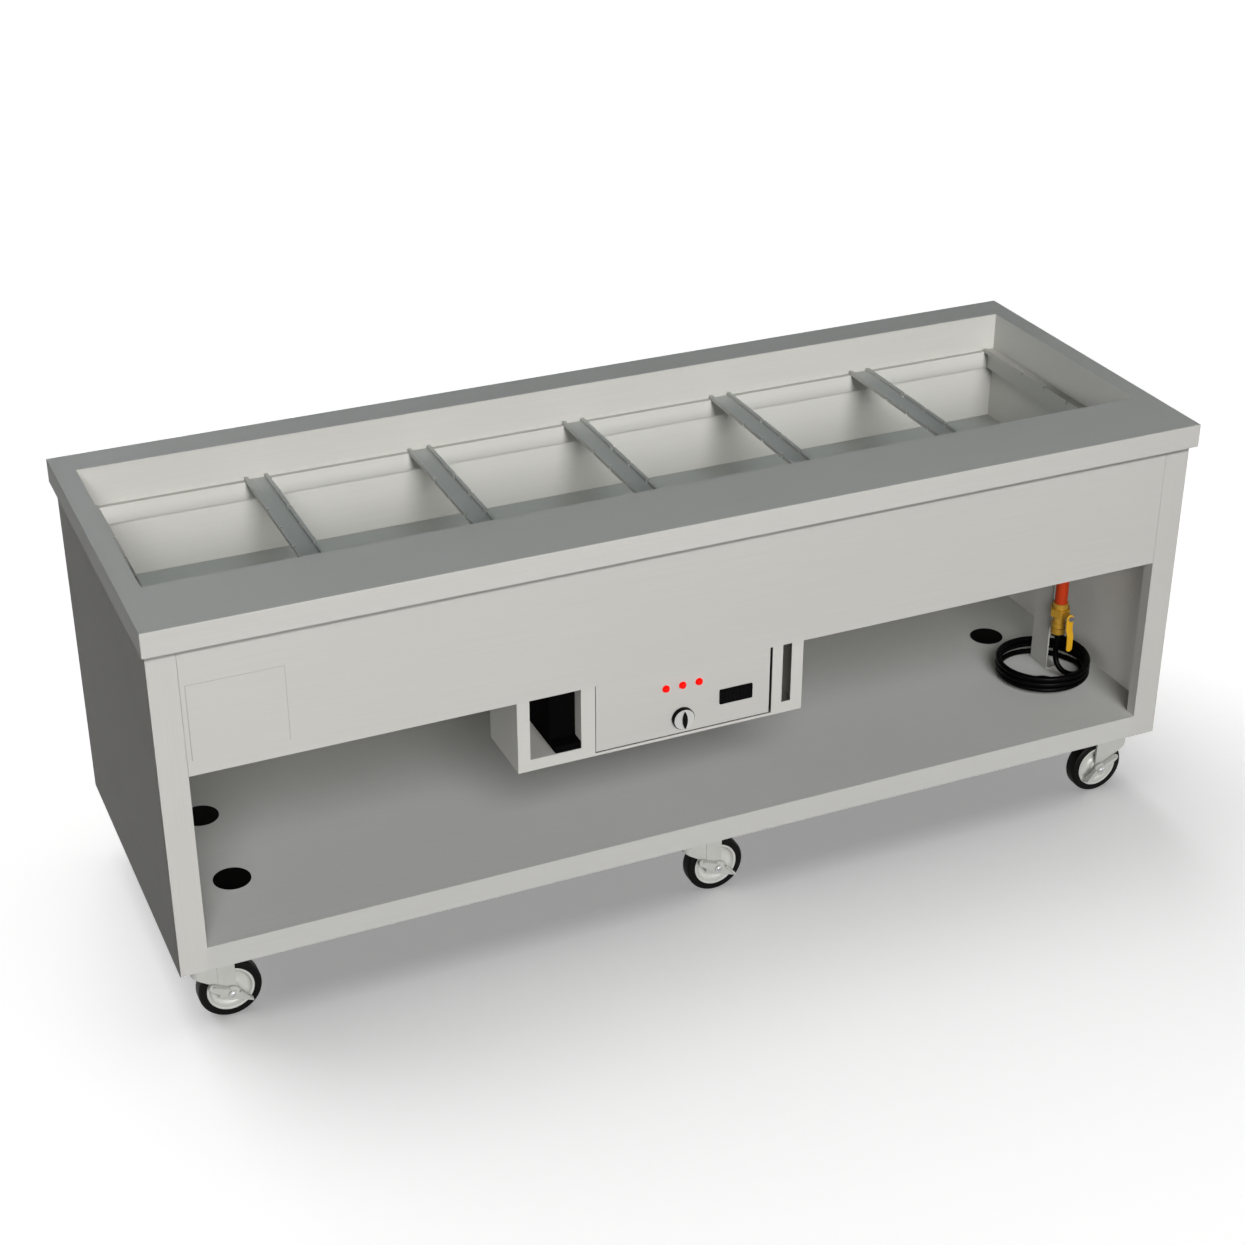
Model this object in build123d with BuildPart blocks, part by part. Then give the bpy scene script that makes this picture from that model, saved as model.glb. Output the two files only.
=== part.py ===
from build123d import *
import math
import os

# Mobile hot and cold serving counter: one long well for six pans over an open storage bay.
# Millimetres, +X along the length, -Y to the operator's side, +Z up, origin on the floor
# under the middle of the countertop.

os.makedirs("parts", exist_ok=True)

# Pans and adapter bars
pan_count = 6
pan_width = 304.8
bar_width = 50.8
bar_sheet = 1.5
bar_end_gap = 4.0
ridge_width = 7.5
ridge_height = 8.5
notch_width = 6.0
notch_pitch = 90.5
notch_count = 4
notch_shift = -33.0

# Well and its rails
well_width = 551.0
well_depth = 254.0
end_rail_width = 32.2
end_face_inset = 10.0
ledge_drop = 85.6
ledge_width = 12.0
ledge_face = 40.0
rail_sheet = 1.5
liner_sheet = 1.5
insulation = 25.0
floor_insulation = 41.0
jacket_sheet = 1.2

# Countertop
end_rim = 44.0
front_rim = 174.3
back_rim = 78.7
counter_height = 914.4
top_sheet = 2.0
top_bend = 1.5
edge_drop = 50.0
edge_hem = 4.0

# Body shell
end_overhang = 6.6
front_overhang = 20.3
back_overhang = 41.5
body_sheet = 1.5
post_width = 57.0
post_return = 27.0
post_lip = 12.0
panel_flange = 25.0
apron_drop = 320.0
apron_return = 18.0
seam_gap = 0.6
cover_end_inset = 159.0
cover_drop = 210.5
cover_width = 182.0
cover_height = 156.0
cover_lap = 16.0
cover_sheet = 1.2
cover_corner = 3.0

# Undershelf, plugs, caster channels and shelf post
shelf_lip = 52.4
shelf_sheet = 1.5
plug_end_inset = 160.5
plug_front_inset = 203.2
plug_pitch = 246.8
plug_width = 76.2
plug_hole = 70.0
plug_flange = 0.8
plug_depth = 8.0
plug_gap = 0.2
channel_width = 90.0
channel_sheet = 2.0
stand_shift = 0.8
stand_setback = 34.0
stand_depth = 63.0
stand_sheet = 3.0
stand_foot = 30.0
stand_foot_depth = 40.0

# Heating element and evaporator tube
element_tube = 8.0
element_bend = 30.0
element_gap = 0.3
element_foot_bend = 10.0
element_end_inset = 95.0
element_side_inset = 165.0
element_drain_inset = 175.0
element_terminal_x = -100.0
element_terminal_pitch = 60.0
element_terminal_inset = 12.0
element_terminal_reach = 12.0
element_hole_gap = 0.2
element_margin = 8.0
evaporator_tube_width = 9.5
evaporator_runs = 2
evaporator_pitch = 40.0
evaporator_low = 30.0
evaporator_end_inset = 120.0
evaporator_tail_pitch = 60.0
evaporator_tail = 18.0
evaporator_gap = 0.1
pocket_margin = 20.0
pocket_depth = 11.0

# Drain: fitting, pipe, ball valve and lever
drain_end_inset = 82.4
drain_front_inset = 72.7
drain_flange_width = 56.0
drain_flange_height = 3.0
drain_neck = 33.0
drain_neck_drop = 10.0
drain_hole_gap = 0.3
pipe_width = 28.6
pipe_wall = 1.5
pipe_length = 204.0
valve_outlet_width = 33.0
valve_outlet_length = 14.0
valve_groove_width = 27.0
valve_groove_length = 2.0
valve_ring_width = 33.0
valve_ring_length = 12.0
valve_neck_width = 29.0
valve_neck_length = 18.0
valve_hex = 48.0
valve_hex_length = 18.0
valve_inlet_width = 35.0
valve_inlet_length = 13.0
valve_bore = 16.0
valve_outlet_bore = 8.0
ball_width = 26.0
ball_gap = 0.3
stem_width = 10.0
stem_run_gap = 0.06
stem_boss_width = 16.0
stem_boss_reach = 39.0
lever_sheet = 3.0
lever_gap = 0.5
lever_width = 18.0
lever_tip_width = 15.0
lever_length = 73.5
lever_straight = 27.5
lever_bend_drop = 16.0
lever_bend_out = 7.0
stem_nut_width = 13.0
stem_nut_length = 5.0

# Drain hose: lead and coil
hose_width = 12.7
coil_shift_x = -20.2
coil_shift_y = 19.5
coil_radius = 102.0
coil_start_inset = 12.0
coil_start_angle = 25.0
coil_turns = 3
coil_pitch = 13.5
coil_rest_gap = 0.4
lead_end_run = 22.0
coupling_width = 13.6
coupling_length = 16.0
nozzle_width = 9.0
nozzle_length = 10.0

# Control box
control_left = -404.5
control_setback = 24.7
control_depth = 152.0
control_height = 197.0
control_sheet = 1.5
stile = 26.0
bay_width = 108.6
left_mullion = 30.0
panel_left_reveal = 1.5
panel_right_reveal = 6.0
panel_low_reveal = 3.0
panel_width = 384.0
right_mullion = 23.0
slot_width = 20.5
sill = 25.4
panel_sill = 6.0
panel_flange_depth = 20.0
filter_inset = 54.0
filter_setback = 32.0
filter_foot = 15.0

# Controls on the panel
knob_shift = -3.9
knob_rise = 44.3
knob_width = 47.0
knob_skirt = 10.0
knob_face_width = 44.0
knob_face = 1.5
knob_gap = 1.0
grip_length = 39.0
grip_width = 10.0
grip_height = 5.0
shaft_width = 6.0
shaft_run_gap = 0.05
shaft_reach = 22.0
bush_width = 10.0
thermostat_width = 42.0
thermostat_depth = 34.0
light_rise = 118.5
light_pitch = 36.5
light_width = 16.0
light_barrel = 11.0
light_barrel_length = 18.0
light_rim = 2.0
display_shift = 115.9
display_rise = 71.0
display_width = 74.0
display_height = 34.0
display_bezel = 2.5
display_corner = 3.0
display_body_width = 70.0
display_body_height = 28.0
display_body_depth = 45.0
fit_gap = 0.3

# Casters
wheel_width_across = 127.0
tread_width = 32.0
tyre_shoulder = 5.0
rim_width_across = 96.0
rim_wall = 6.0
hub_width = 28.0
hub_length = 35.6
web_thickness = 10.0
axle_width = 12.0
axle_run_gap = 0.08
caster_trail = 45.0
caster_inset = 59.0
caster_front_inset = 65.7
caster_back_inset = 65.7
wheel_headroom = 11.0
crown_sheet = 4.0
lower_race = 4.0
race_gap = 0.3
upper_race = 9.2
race_width = 48.0
plate_sheet = 3.0
plate_length = 95.0
plate_width = 67.0
king_pin = 12.0
king_head = 18.0
king_head_height = 3.5
fork_gap = 0.7
fork_sheet = 3.2
fork_nose = 30.0
fork_nose_round = 17.0
leg_strap = 2.0
leg_lead = 25.0
leg_tail = 10.0
leg_foot = 15.0
leg_round = 9.0
skirt_nose_drop = 30.0
skirt_leg_drop = 62.0
axle_nut = 17.0
axle_nut_length = 5.0
stub_shoulder = 18.0
stub_shoulder_length = 3.0
pedal_sheet = 4.0
pedal_gap = 0.3
pedal_hub = 32.0
pedal_waist = 25.0
pedal_lead_reach = 46.0
pedal_lead_rise = 22.0
pedal_lead_tip = 14.0
pedal_tail_reach = 44.0
pedal_tail_drop = 23.0
pedal_tail_tip = 8.0
tread_start = 12.0
tread_sheet = 3.2
tread_reach = 8.0
stub_head = 17.0
stub_head_length = 4.0

# Plan of the well and the countertop
well_length = pan_count * pan_width + (pan_count - 1) * bar_width + 2 * end_rail_width
counter_length = well_length + 2 * end_rim
counter_depth = front_rim + well_width + back_rim
well_front = -counter_depth / 2 + front_rim
well_back = well_front + well_width
well_y = (well_front + well_back) / 2
drain_x = well_length / 2 - drain_end_inset
drain_y = well_front + drain_front_inset
drain_axis = (drain_x, drain_y)
bar_pitch = pan_width + bar_width

# Heights down from the countertop
under_top = counter_height - top_sheet
ledge_top = counter_height - ledge_drop
well_floor = counter_height - well_depth
liner_bottom = well_floor - liner_sheet
insulation_bottom = liner_bottom - floor_insulation
jacket_bottom = insulation_bottom - jacket_sheet
apron_bottom = counter_height - apron_drop

# Heights up from the floor, through the casters to the shelf
axle_height = wheel_width_across / 2
crown_under = wheel_width_across + wheel_headroom
crown_top = crown_under + crown_sheet
race_top = crown_top + lower_race
plate_under = race_top + race_gap + upper_race
body_bottom = plate_under + plate_sheet
shelf_top = body_bottom + shelf_lip

# Plan of the body
body_half = counter_length / 2 - end_overhang
body_front = -counter_depth / 2 + front_overhang
body_back = counter_depth / 2 - back_overhang
inner_half = body_half - body_sheet
post_inner = body_half - post_width
shelf_back = body_back - 2 * body_sheet


def write_piece(piece, name):
    """Label a finished piece and write it as its own file."""
    piece.part.label = name
    export_step(piece.part, f"parts/{name}.step")


def front_plane(y):
    """Upright sketch plane at depth y: local x is X, local y is Z, its normal points to the operator."""
    return Plane.XZ.offset(-y)


# Countertop: flat sheet, edges turned down all round with a small hem, one long cut-out
with BuildPart() as countertop:
    with BuildSketch(Plane.XY.offset(counter_height)):
        Rectangle(counter_length, counter_depth)
    extrude(amount=-edge_drop)
    outer_edges = edges().filter_by(Axis.Z) + edges().group_by(Axis.Z)[-1]
    fillet(outer_edges, radius=min(top_bend, 0.9 * top_sheet))
    with BuildSketch(Plane.XY.offset(under_top)):
        Rectangle(counter_length - 2 * top_sheet, counter_depth - 2 * top_sheet)
    extrude(amount=-(edge_drop - 2 * top_sheet), mode=Mode.SUBTRACT)
    with BuildSketch(Plane.XY.offset(counter_height - edge_drop)):
        Rectangle(counter_length - 2 * edge_hem, counter_depth - 2 * edge_hem)
    extrude(amount=top_sheet, mode=Mode.SUBTRACT)
    with BuildSketch(Plane.XY.offset(counter_height)):
        with Locations((0, well_y)):
            Rectangle(well_length, well_width)
    extrude(amount=-top_sheet, mode=Mode.SUBTRACT)
write_piece(countertop, "countertop")


def end_panel(side, name):
    """One end skin with a return flange behind the back panel's edge."""
    with BuildPart() as panel:
        with BuildSketch(Plane.XY.offset(body_bottom)):
            with Locations((side * (body_half - body_sheet / 2), (body_front + body_back) / 2)):
                Rectangle(body_sheet, body_back - body_front)
            with Locations((side * (body_half - panel_flange / 2), shelf_back + body_sheet / 2)):
                Rectangle(panel_flange, body_sheet)
        extrude(amount=under_top - body_bottom)
    write_piece(panel, name)


def front_post(side, name):
    """One folded front corner post: face, inner return and a stiffening lip."""
    with BuildPart() as post:
        with BuildSketch(Plane.XY.offset(body_bottom)):
            with Locations((side * (inner_half + post_inner) / 2, body_front + body_sheet / 2)):
                Rectangle(inner_half - post_inner, body_sheet)
            with Locations((side * (post_inner + body_sheet / 2), body_front + post_return / 2)):
                Rectangle(body_sheet, post_return)
            with Locations((side * (post_inner + post_lip / 2), body_front + post_return - body_sheet / 2)):
                Rectangle(post_lip, body_sheet)
        extrude(amount=under_top - body_bottom)
    write_piece(post, name)


end_panel(-1, "left_end_panel")
end_panel(1, "right_end_panel")
front_post(-1, "left_front_post")
front_post(1, "right_front_post")

# Back panel between the end panels
with BuildPart() as back_panel:
    with BuildSketch(Plane.XY.offset(body_bottom)):
        with Locations((0, body_back - body_sheet / 2)):
            Rectangle(2 * inner_half, body_sheet)
    extrude(amount=under_top - body_bottom)
write_piece(back_panel, "back_panel")

# Front apron: sheet between the posts, turned in along the bottom, with an access opening
cover_x = -body_half + cover_end_inset
cover_z = counter_height - cover_drop
apron_half = post_inner - seam_gap
with BuildPart() as front_apron:
    with BuildSketch(Plane.YZ.offset(-apron_half)):
        with Locations((body_front + body_sheet / 2, (apron_bottom + under_top) / 2)):
            Rectangle(body_sheet, under_top - apron_bottom)
        with Locations((body_front + apron_return / 2, apron_bottom + body_sheet / 2)):
            Rectangle(apron_return, body_sheet)
    extrude(amount=2 * apron_half)
    with BuildSketch(front_plane(body_front)):
        with Locations((cover_x, cover_z)):
            Rectangle(cover_width - 2 * cover_lap, cover_height - 2 * cover_lap)
    extrude(amount=-body_sheet, mode=Mode.SUBTRACT)
write_piece(front_apron, "front_apron")

# Access cover over that opening
with BuildPart() as access_cover:
    with BuildSketch(front_plane(body_front)):
        with Locations((cover_x, cover_z)):
            RectangleRounded(cover_width, cover_height, cover_corner)
    extrude(amount=cover_sheet)
write_piece(access_cover, "access_cover")

# Undershelf: inverted tray with a deep front lip, notched round the posts, with four holes
plug_x = body_half - plug_end_inset
plug_front_y = body_front + plug_front_inset
plug_spots = [(side * plug_x, plug_front_y + row * plug_pitch) for side in (-1, 1) for row in (0, 1)]
with BuildPart() as undershelf:
    with BuildSketch(Plane.XY.offset(shelf_top)):
        with Locations((0, (body_front + shelf_back) / 2)):
            Rectangle(2 * inner_half, shelf_back - body_front)
        with Locations((inner_half, body_front), (-inner_half, body_front)):
            Rectangle(2 * (inner_half - post_inner), 2 * post_return, mode=Mode.SUBTRACT)
    extrude(amount=-shelf_lip)
    offset(amount=-shelf_sheet, openings=faces().sort_by(Axis.Z)[0], kind=Kind.INTERSECTION)
    with BuildSketch(Plane.XY.offset(shelf_top)):
        with Locations(*plug_spots):
            Circle(plug_hole / 2)
    extrude(amount=-shelf_sheet, mode=Mode.SUBTRACT)
write_piece(undershelf, "undershelf")

# Black plugs that close the shelf's holes
with BuildPart() as shelf_hole_plugs:
    with BuildSketch(Plane.XY.offset(shelf_top)):
        with Locations(*plug_spots):
            Circle(plug_width / 2)
    extrude(amount=plug_flange)
    with BuildSketch(Plane.XY.offset(shelf_top)):
        with Locations(*plug_spots):
            Circle(plug_hole / 2 - plug_gap)
    extrude(amount=-plug_depth)
write_piece(shelf_hole_plugs, "shelf_hole_plugs")

# Casters: where each swivels, and which way its wheel trails
caster_x = body_half - caster_inset
caster_front_y = body_front + caster_front_inset
caster_back_y = body_back - caster_back_inset
caster_table = {
    "front_left": (-caster_x, caster_front_y, 1),
    "front_center": (0.0, caster_front_y, 1),
    "front_right": (caster_x, caster_front_y, -1),
    "rear_left": (-caster_x, caster_back_y, 1),
    "rear_center": (0.0, caster_back_y, 1),
    "rear_right": (caster_x, caster_back_y, -1),
}
caster_spots = [(x, y) for x, y, facing in caster_table.values()]

# Channels under the shelf that carry the casters
channel_height = shelf_lip - shelf_sheet
channel_front = body_front + post_return + shelf_sheet
channel_length = shelf_back - shelf_sheet - channel_front
channel_spots = [(x, body_bottom + channel_height / 2) for x in (-caster_x, 0, caster_x)]
with BuildPart() as caster_channels:
    with BuildSketch(front_plane(channel_front)):
        with Locations(*channel_spots):
            Rectangle(channel_width, channel_height)
            with Locations((0, channel_sheet)):
                Rectangle(channel_width - 2 * channel_sheet, channel_height, mode=Mode.SUBTRACT)
    extrude(amount=-channel_length)
write_piece(caster_channels, "caster_channels")

# Upright stand between the shelf and the well, with a foot and a head flange
stand_x = drain_x + stand_shift
stand_front_y = drain_y + stand_setback
with BuildPart() as shelf_post:
    with BuildSketch(front_plane(stand_front_y)):
        with Locations((stand_x + stand_sheet / 2, (shelf_top + jacket_bottom) / 2)):
            Rectangle(stand_sheet, jacket_bottom - shelf_top)
    extrude(amount=-stand_depth)
    with BuildSketch(front_plane(stand_front_y)):
        with Locations(
            (stand_x + stand_foot / 2, shelf_top + stand_sheet / 2),
            (stand_x + stand_foot / 2, jacket_bottom - stand_sheet / 2),
        ):
            Rectangle(stand_foot, stand_sheet)
    extrude(amount=-stand_foot_depth)
write_piece(shelf_post, "shelf_post")

# Heating element: one bent tube clamped under the well floor, both ends down into the control box
element_z = liner_bottom - element_gap - element_tube / 2
element_left = -well_length / 2 + element_end_inset
element_right = well_length / 2 - element_drain_inset
element_front = well_front + element_side_inset
element_back = well_back - element_side_inset
element_foot = jacket_bottom - control_sheet - element_terminal_reach
terminal_y = well_front + element_terminal_inset
terminal_left = element_terminal_x - element_terminal_pitch / 2
terminal_right = element_terminal_x + element_terminal_pitch / 2
terminal_spots = [(terminal_left, terminal_y), (terminal_right, terminal_y)]
with BuildPart() as heating_element:
    with BuildLine() as element_route:
        FilletPolyline(
            (terminal_left, terminal_y, element_foot),
            (terminal_left, terminal_y, element_z),
            (terminal_left, element_front, element_z),
            (element_left, element_front, element_z),
            (element_left, element_back, element_z),
            (element_right, element_back, element_z),
            (element_right, element_front, element_z),
            (terminal_right, element_front, element_z),
            (terminal_right, terminal_y, element_z),
            (terminal_right, terminal_y, element_foot),
            radius=[element_foot_bend] + 6 * [element_bend] + [element_foot_bend],
        )
    with BuildSketch(Plane(origin=element_route.line @ 0, z_dir=element_route.line % 0)):
        Circle(element_tube / 2)
    sweep(path=element_route.line)
write_piece(heating_element, "heating_element")

# Evaporator: serpentine tube against the back of the liner, two tails down through the jacket
liner_back = well_back + liner_sheet
evaporator_y = liner_back + evaporator_gap + evaporator_tube_width / 2
evaporator_half = well_length / 2 - evaporator_end_inset
evaporator_z = liner_bottom + evaporator_low
evaporator_foot = jacket_bottom - evaporator_tail
evaporator_tail_x = -evaporator_half - evaporator_tail_pitch
evaporator_points = [(-evaporator_half, evaporator_foot)]
for run in range(evaporator_runs):
    run_z = evaporator_z + run * evaporator_pitch
    run_ends = [(-evaporator_half, run_z), (evaporator_half, run_z)]
    evaporator_points += run_ends if run % 2 == 0 else run_ends[::-1]
evaporator_points[-1] = (evaporator_tail_x, evaporator_points[-1][1])
evaporator_points.append((evaporator_tail_x, evaporator_foot))
with BuildPart() as evaporator_tube:
    with BuildLine(front_plane(evaporator_y)) as evaporator_route:
        FilletPolyline(*evaporator_points, radius=0.48 * evaporator_pitch)
    with BuildSketch(Plane(origin=evaporator_route.line @ 0, z_dir=evaporator_route.line % 0)):
        Circle(evaporator_tube_width / 2)
    sweep(path=evaporator_route.line)
write_piece(evaporator_tube, "evaporator_tube")

# Well liner: floor sheet and four walls with flanges under the countertop, welded edge to edge
flange_reach = liner_sheet + insulation + jacket_sheet
element_hole = element_tube / 2 + element_hole_gap
drain_hole = drain_neck / 2 + drain_hole_gap
wall_height = under_top - well_floor
with BuildPart() as liner_floor:
    with BuildSketch(Plane.XY.offset(liner_bottom)):
        with Locations((0, well_y)):
            Rectangle(well_length + 2 * liner_sheet, well_width + 2 * liner_sheet)
        with Locations(drain_axis):
            Circle(drain_hole, mode=Mode.SUBTRACT)
    extrude(amount=liner_sheet)


def liner_wall(plane, width, flange_width):
    """One wall, drawn on its inner face with its outward normal, and the flange along its top."""
    with BuildPart() as wall:
        with BuildSketch(plane):
            Rectangle(width, wall_height, align=(Align.CENTER, Align.MIN))
        extrude(amount=liner_sheet)
        with BuildSketch(plane):
            with Locations((0, wall_height - liner_sheet)):
                Rectangle(flange_width, liner_sheet, align=(Align.CENTER, Align.MIN))
        extrude(amount=flange_reach)
    return wall.part


long_wall = well_length + 2 * liner_sheet
long_flange = well_length + 2 * flange_reach
liner_walls = [
    liner_wall(Plane((0, well_front, well_floor), x_dir=(1, 0, 0), z_dir=(0, -1, 0)), long_wall, long_flange),
    liner_wall(Plane((0, well_back, well_floor), x_dir=(-1, 0, 0), z_dir=(0, 1, 0)), long_wall, long_flange),
]
for side in (-1, 1):
    end_plane = Plane((side * well_length / 2, well_y, well_floor), x_dir=(0, side, 0), z_dir=(side, 0, 0))
    liner_walls.append(liner_wall(end_plane, well_width, well_width))
well_liner = Compound(label="well_liner", children=[liner_floor.part, *liner_walls])
export_step(well_liner, "parts/well_liner.step")

# Insulation: foam tray round the liner, with pockets for the evaporator tube and the element
insulation_top = under_top - liner_sheet
pocket_low_x = evaporator_tail_x - pocket_margin
pocket_high_x = evaporator_half + pocket_margin
pocket_top = evaporator_z + (evaporator_runs - 1) * evaporator_pitch + pocket_margin
with BuildPart() as well_insulation:
    with BuildSketch(Plane.XY.offset(insulation_bottom)):
        with Locations((0, well_y)):
            Rectangle(
                well_length + 2 * (liner_sheet + insulation),
                well_width + 2 * (liner_sheet + insulation),
            )
    extrude(amount=insulation_top - insulation_bottom)
    with BuildSketch(Plane.XY.offset(liner_bottom)):
        with Locations((0, well_y)):
            Rectangle(well_length + 2 * liner_sheet, well_width + 2 * liner_sheet)
    extrude(amount=insulation_top - liner_bottom, mode=Mode.SUBTRACT)
    with BuildSketch(Plane.XY.offset(insulation_bottom)):
        with Locations(((pocket_low_x + pocket_high_x) / 2, liner_back + pocket_depth / 2)):
            Rectangle(pocket_high_x - pocket_low_x, pocket_depth)
    extrude(amount=pocket_top - insulation_bottom, mode=Mode.SUBTRACT)
    with BuildSketch(Plane.XY.offset(insulation_bottom)):
        with Locations(drain_axis):
            Circle(drain_hole)
        with Locations(*terminal_spots):
            Circle(element_hole)
    extrude(amount=floor_insulation, mode=Mode.SUBTRACT)
    with BuildSketch(Plane.XY.offset(liner_bottom)):
        with Locations(((element_left + element_right) / 2, (terminal_y + element_back) / 2)):
            Rectangle(
                element_right - element_left + 2 * element_margin,
                element_back - terminal_y + 2 * element_margin,
            )
    extrude(amount=-(element_tube + 2 * element_gap), mode=Mode.SUBTRACT)
    with BuildSketch(Plane.XY.offset(liner_bottom)):
        with Locations(*terminal_spots):
            Rectangle(2 * element_margin, 2 * element_foot_bend + element_tube)
    extrude(amount=-(element_gap + element_tube / 2 + element_foot_bend), mode=Mode.SUBTRACT)
write_piece(well_insulation, "well_insulation")

# Jacket: sheet tray round the insulation
with BuildPart() as well_jacket:
    with BuildSketch(Plane.XY.offset(jacket_bottom)):
        with Locations((0, well_y)):
            Rectangle(well_length + 2 * flange_reach, well_width + 2 * flange_reach)
    extrude(amount=insulation_top - jacket_bottom)
    with BuildSketch(Plane.XY.offset(insulation_bottom)):
        with Locations((0, well_y)):
            Rectangle(
                well_length + 2 * (liner_sheet + insulation),
                well_width + 2 * (liner_sheet + insulation),
            )
    extrude(amount=insulation_top - insulation_bottom, mode=Mode.SUBTRACT)
    with BuildSketch(Plane.XY.offset(jacket_bottom)):
        with Locations(drain_axis):
            Circle(drain_hole)
        with Locations((-evaporator_half, evaporator_y), (evaporator_tail_x, evaporator_y)):
            Circle(evaporator_tube_width / 2 + fit_gap)
        with Locations(*terminal_spots):
            Circle(element_hole)
    extrude(amount=jacket_sheet, mode=Mode.SUBTRACT)
write_piece(well_jacket, "well_jacket")

# Pan rails: angles along both long walls, and at both ends a wider rail with a raised ridge
notch_spots = [well_y + notch_shift + (i - (notch_count - 1) / 2) * notch_pitch for i in range(notch_count)]
ridge_z = ledge_top + ridge_height / 2


def cut_notches(x_spots):
    """Cut the small notches across the ridges that run along Y at the given x places."""
    with BuildSketch(Plane.XY.offset(ledge_top)) as notches:
        with Locations(*[(x, y) for x in x_spots for y in notch_spots]):
            Rectangle(ridge_width, notch_width)
    extrude(notches.sketch, amount=ridge_height, mode=Mode.SUBTRACT)


end_inner = well_length / 2 - end_rail_width
end_ridge_x = end_inner + ridge_width / 2
end_face_x = end_inner + end_face_inset + rail_sheet / 2
with BuildPart() as pan_ledge_rails:
    with BuildSketch(Plane.YZ.offset(-well_length / 2)):
        for wall, inward in ((well_front, 1), (well_back, -1)):
            with Locations((wall + inward * ledge_width / 2, ledge_top - rail_sheet / 2)):
                Rectangle(ledge_width, rail_sheet)
            with Locations((wall + inward * (ledge_width - rail_sheet / 2), ledge_top - ledge_face / 2)):
                Rectangle(rail_sheet, ledge_face)
    extrude(amount=well_length)
    with BuildSketch(front_plane(well_back - ledge_width - seam_gap)):
        for side in (-1, 1):
            with Locations((side * (well_length / 2 - end_rail_width / 2), ledge_top - rail_sheet / 2)):
                Rectangle(end_rail_width, rail_sheet)
            with Locations((side * end_face_x, ledge_top - ledge_face / 2)):
                Rectangle(rail_sheet, ledge_face)
            with Locations((side * end_ridge_x, ridge_z)):
                Rectangle(ridge_width, ridge_height)
                with Locations((0, -rail_sheet)):
                    Rectangle(ridge_width - 2 * rail_sheet, ridge_height, mode=Mode.SUBTRACT)
    extrude(amount=well_width - 2 * (ledge_width + seam_gap))
    cut_notches((-end_ridge_x, end_ridge_x))
write_piece(pan_ledge_rails, "pan_ledge_rails")


def adapter_bar(x, name):
    """One lift-off bar: flat strip between two raised ridges, resting on the ledges at its ends."""
    ridge_x = bar_width / 2 - ridge_width / 2
    bar_length = well_width - 2 * bar_end_gap
    with BuildPart() as bar:
        with BuildSketch(front_plane(well_back - bar_end_gap)):
            with Locations((x, ledge_top + bar_sheet / 2)):
                Rectangle(bar_width - 2 * ridge_width + 2 * bar_sheet, bar_sheet)
            with Locations((x - ridge_x, ridge_z), (x + ridge_x, ridge_z)):
                Rectangle(ridge_width, ridge_height)
                with Locations((0, -bar_sheet)):
                    Rectangle(ridge_width - 2 * bar_sheet, ridge_height, mode=Mode.SUBTRACT)
        extrude(amount=bar_length)
        cut_notches((x - ridge_x, x + ridge_x))
    write_piece(bar, name)


for number in range(1, pan_count):
    adapter_bar((number - pan_count / 2) * bar_pitch, f"adapter_bar_{number}")

# Drain fitting: flange on the well floor with a neck down through the tray
neck_bottom = jacket_bottom - drain_neck_drop
pipe_bore = pipe_width / 2 - pipe_wall
with BuildPart() as drain_fitting:
    with BuildSketch(Plane.XY.offset(well_floor)):
        with Locations(drain_axis):
            Circle(drain_flange_width / 2)
    extrude(amount=drain_flange_height)
    with BuildSketch(Plane.XY.offset(well_floor)):
        with Locations(drain_axis):
            Circle(drain_neck / 2)
    extrude(amount=-(well_floor - neck_bottom))
    with BuildSketch(Plane.XY.offset(neck_bottom)):
        with Locations(drain_axis):
            Circle(pipe_bore)
    extrude(amount=well_floor + drain_flange_height - neck_bottom, mode=Mode.SUBTRACT)
    chamfer(edges().group_by(Axis.Z)[-1].sort_by(SortBy.LENGTH)[-1], length=drain_flange_height / 2)
write_piece(drain_fitting, "drain_fitting")

# Copper drain pipe down to the valve
valve_top = neck_bottom - pipe_length
with BuildPart() as drain_pipe:
    with BuildSketch(Plane.XY.offset(valve_top)):
        with Locations(drain_axis):
            Circle(pipe_width / 2)
            Circle(pipe_bore, mode=Mode.SUBTRACT)
    extrude(amount=pipe_length)
write_piece(drain_pipe, "drain_pipe")

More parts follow.
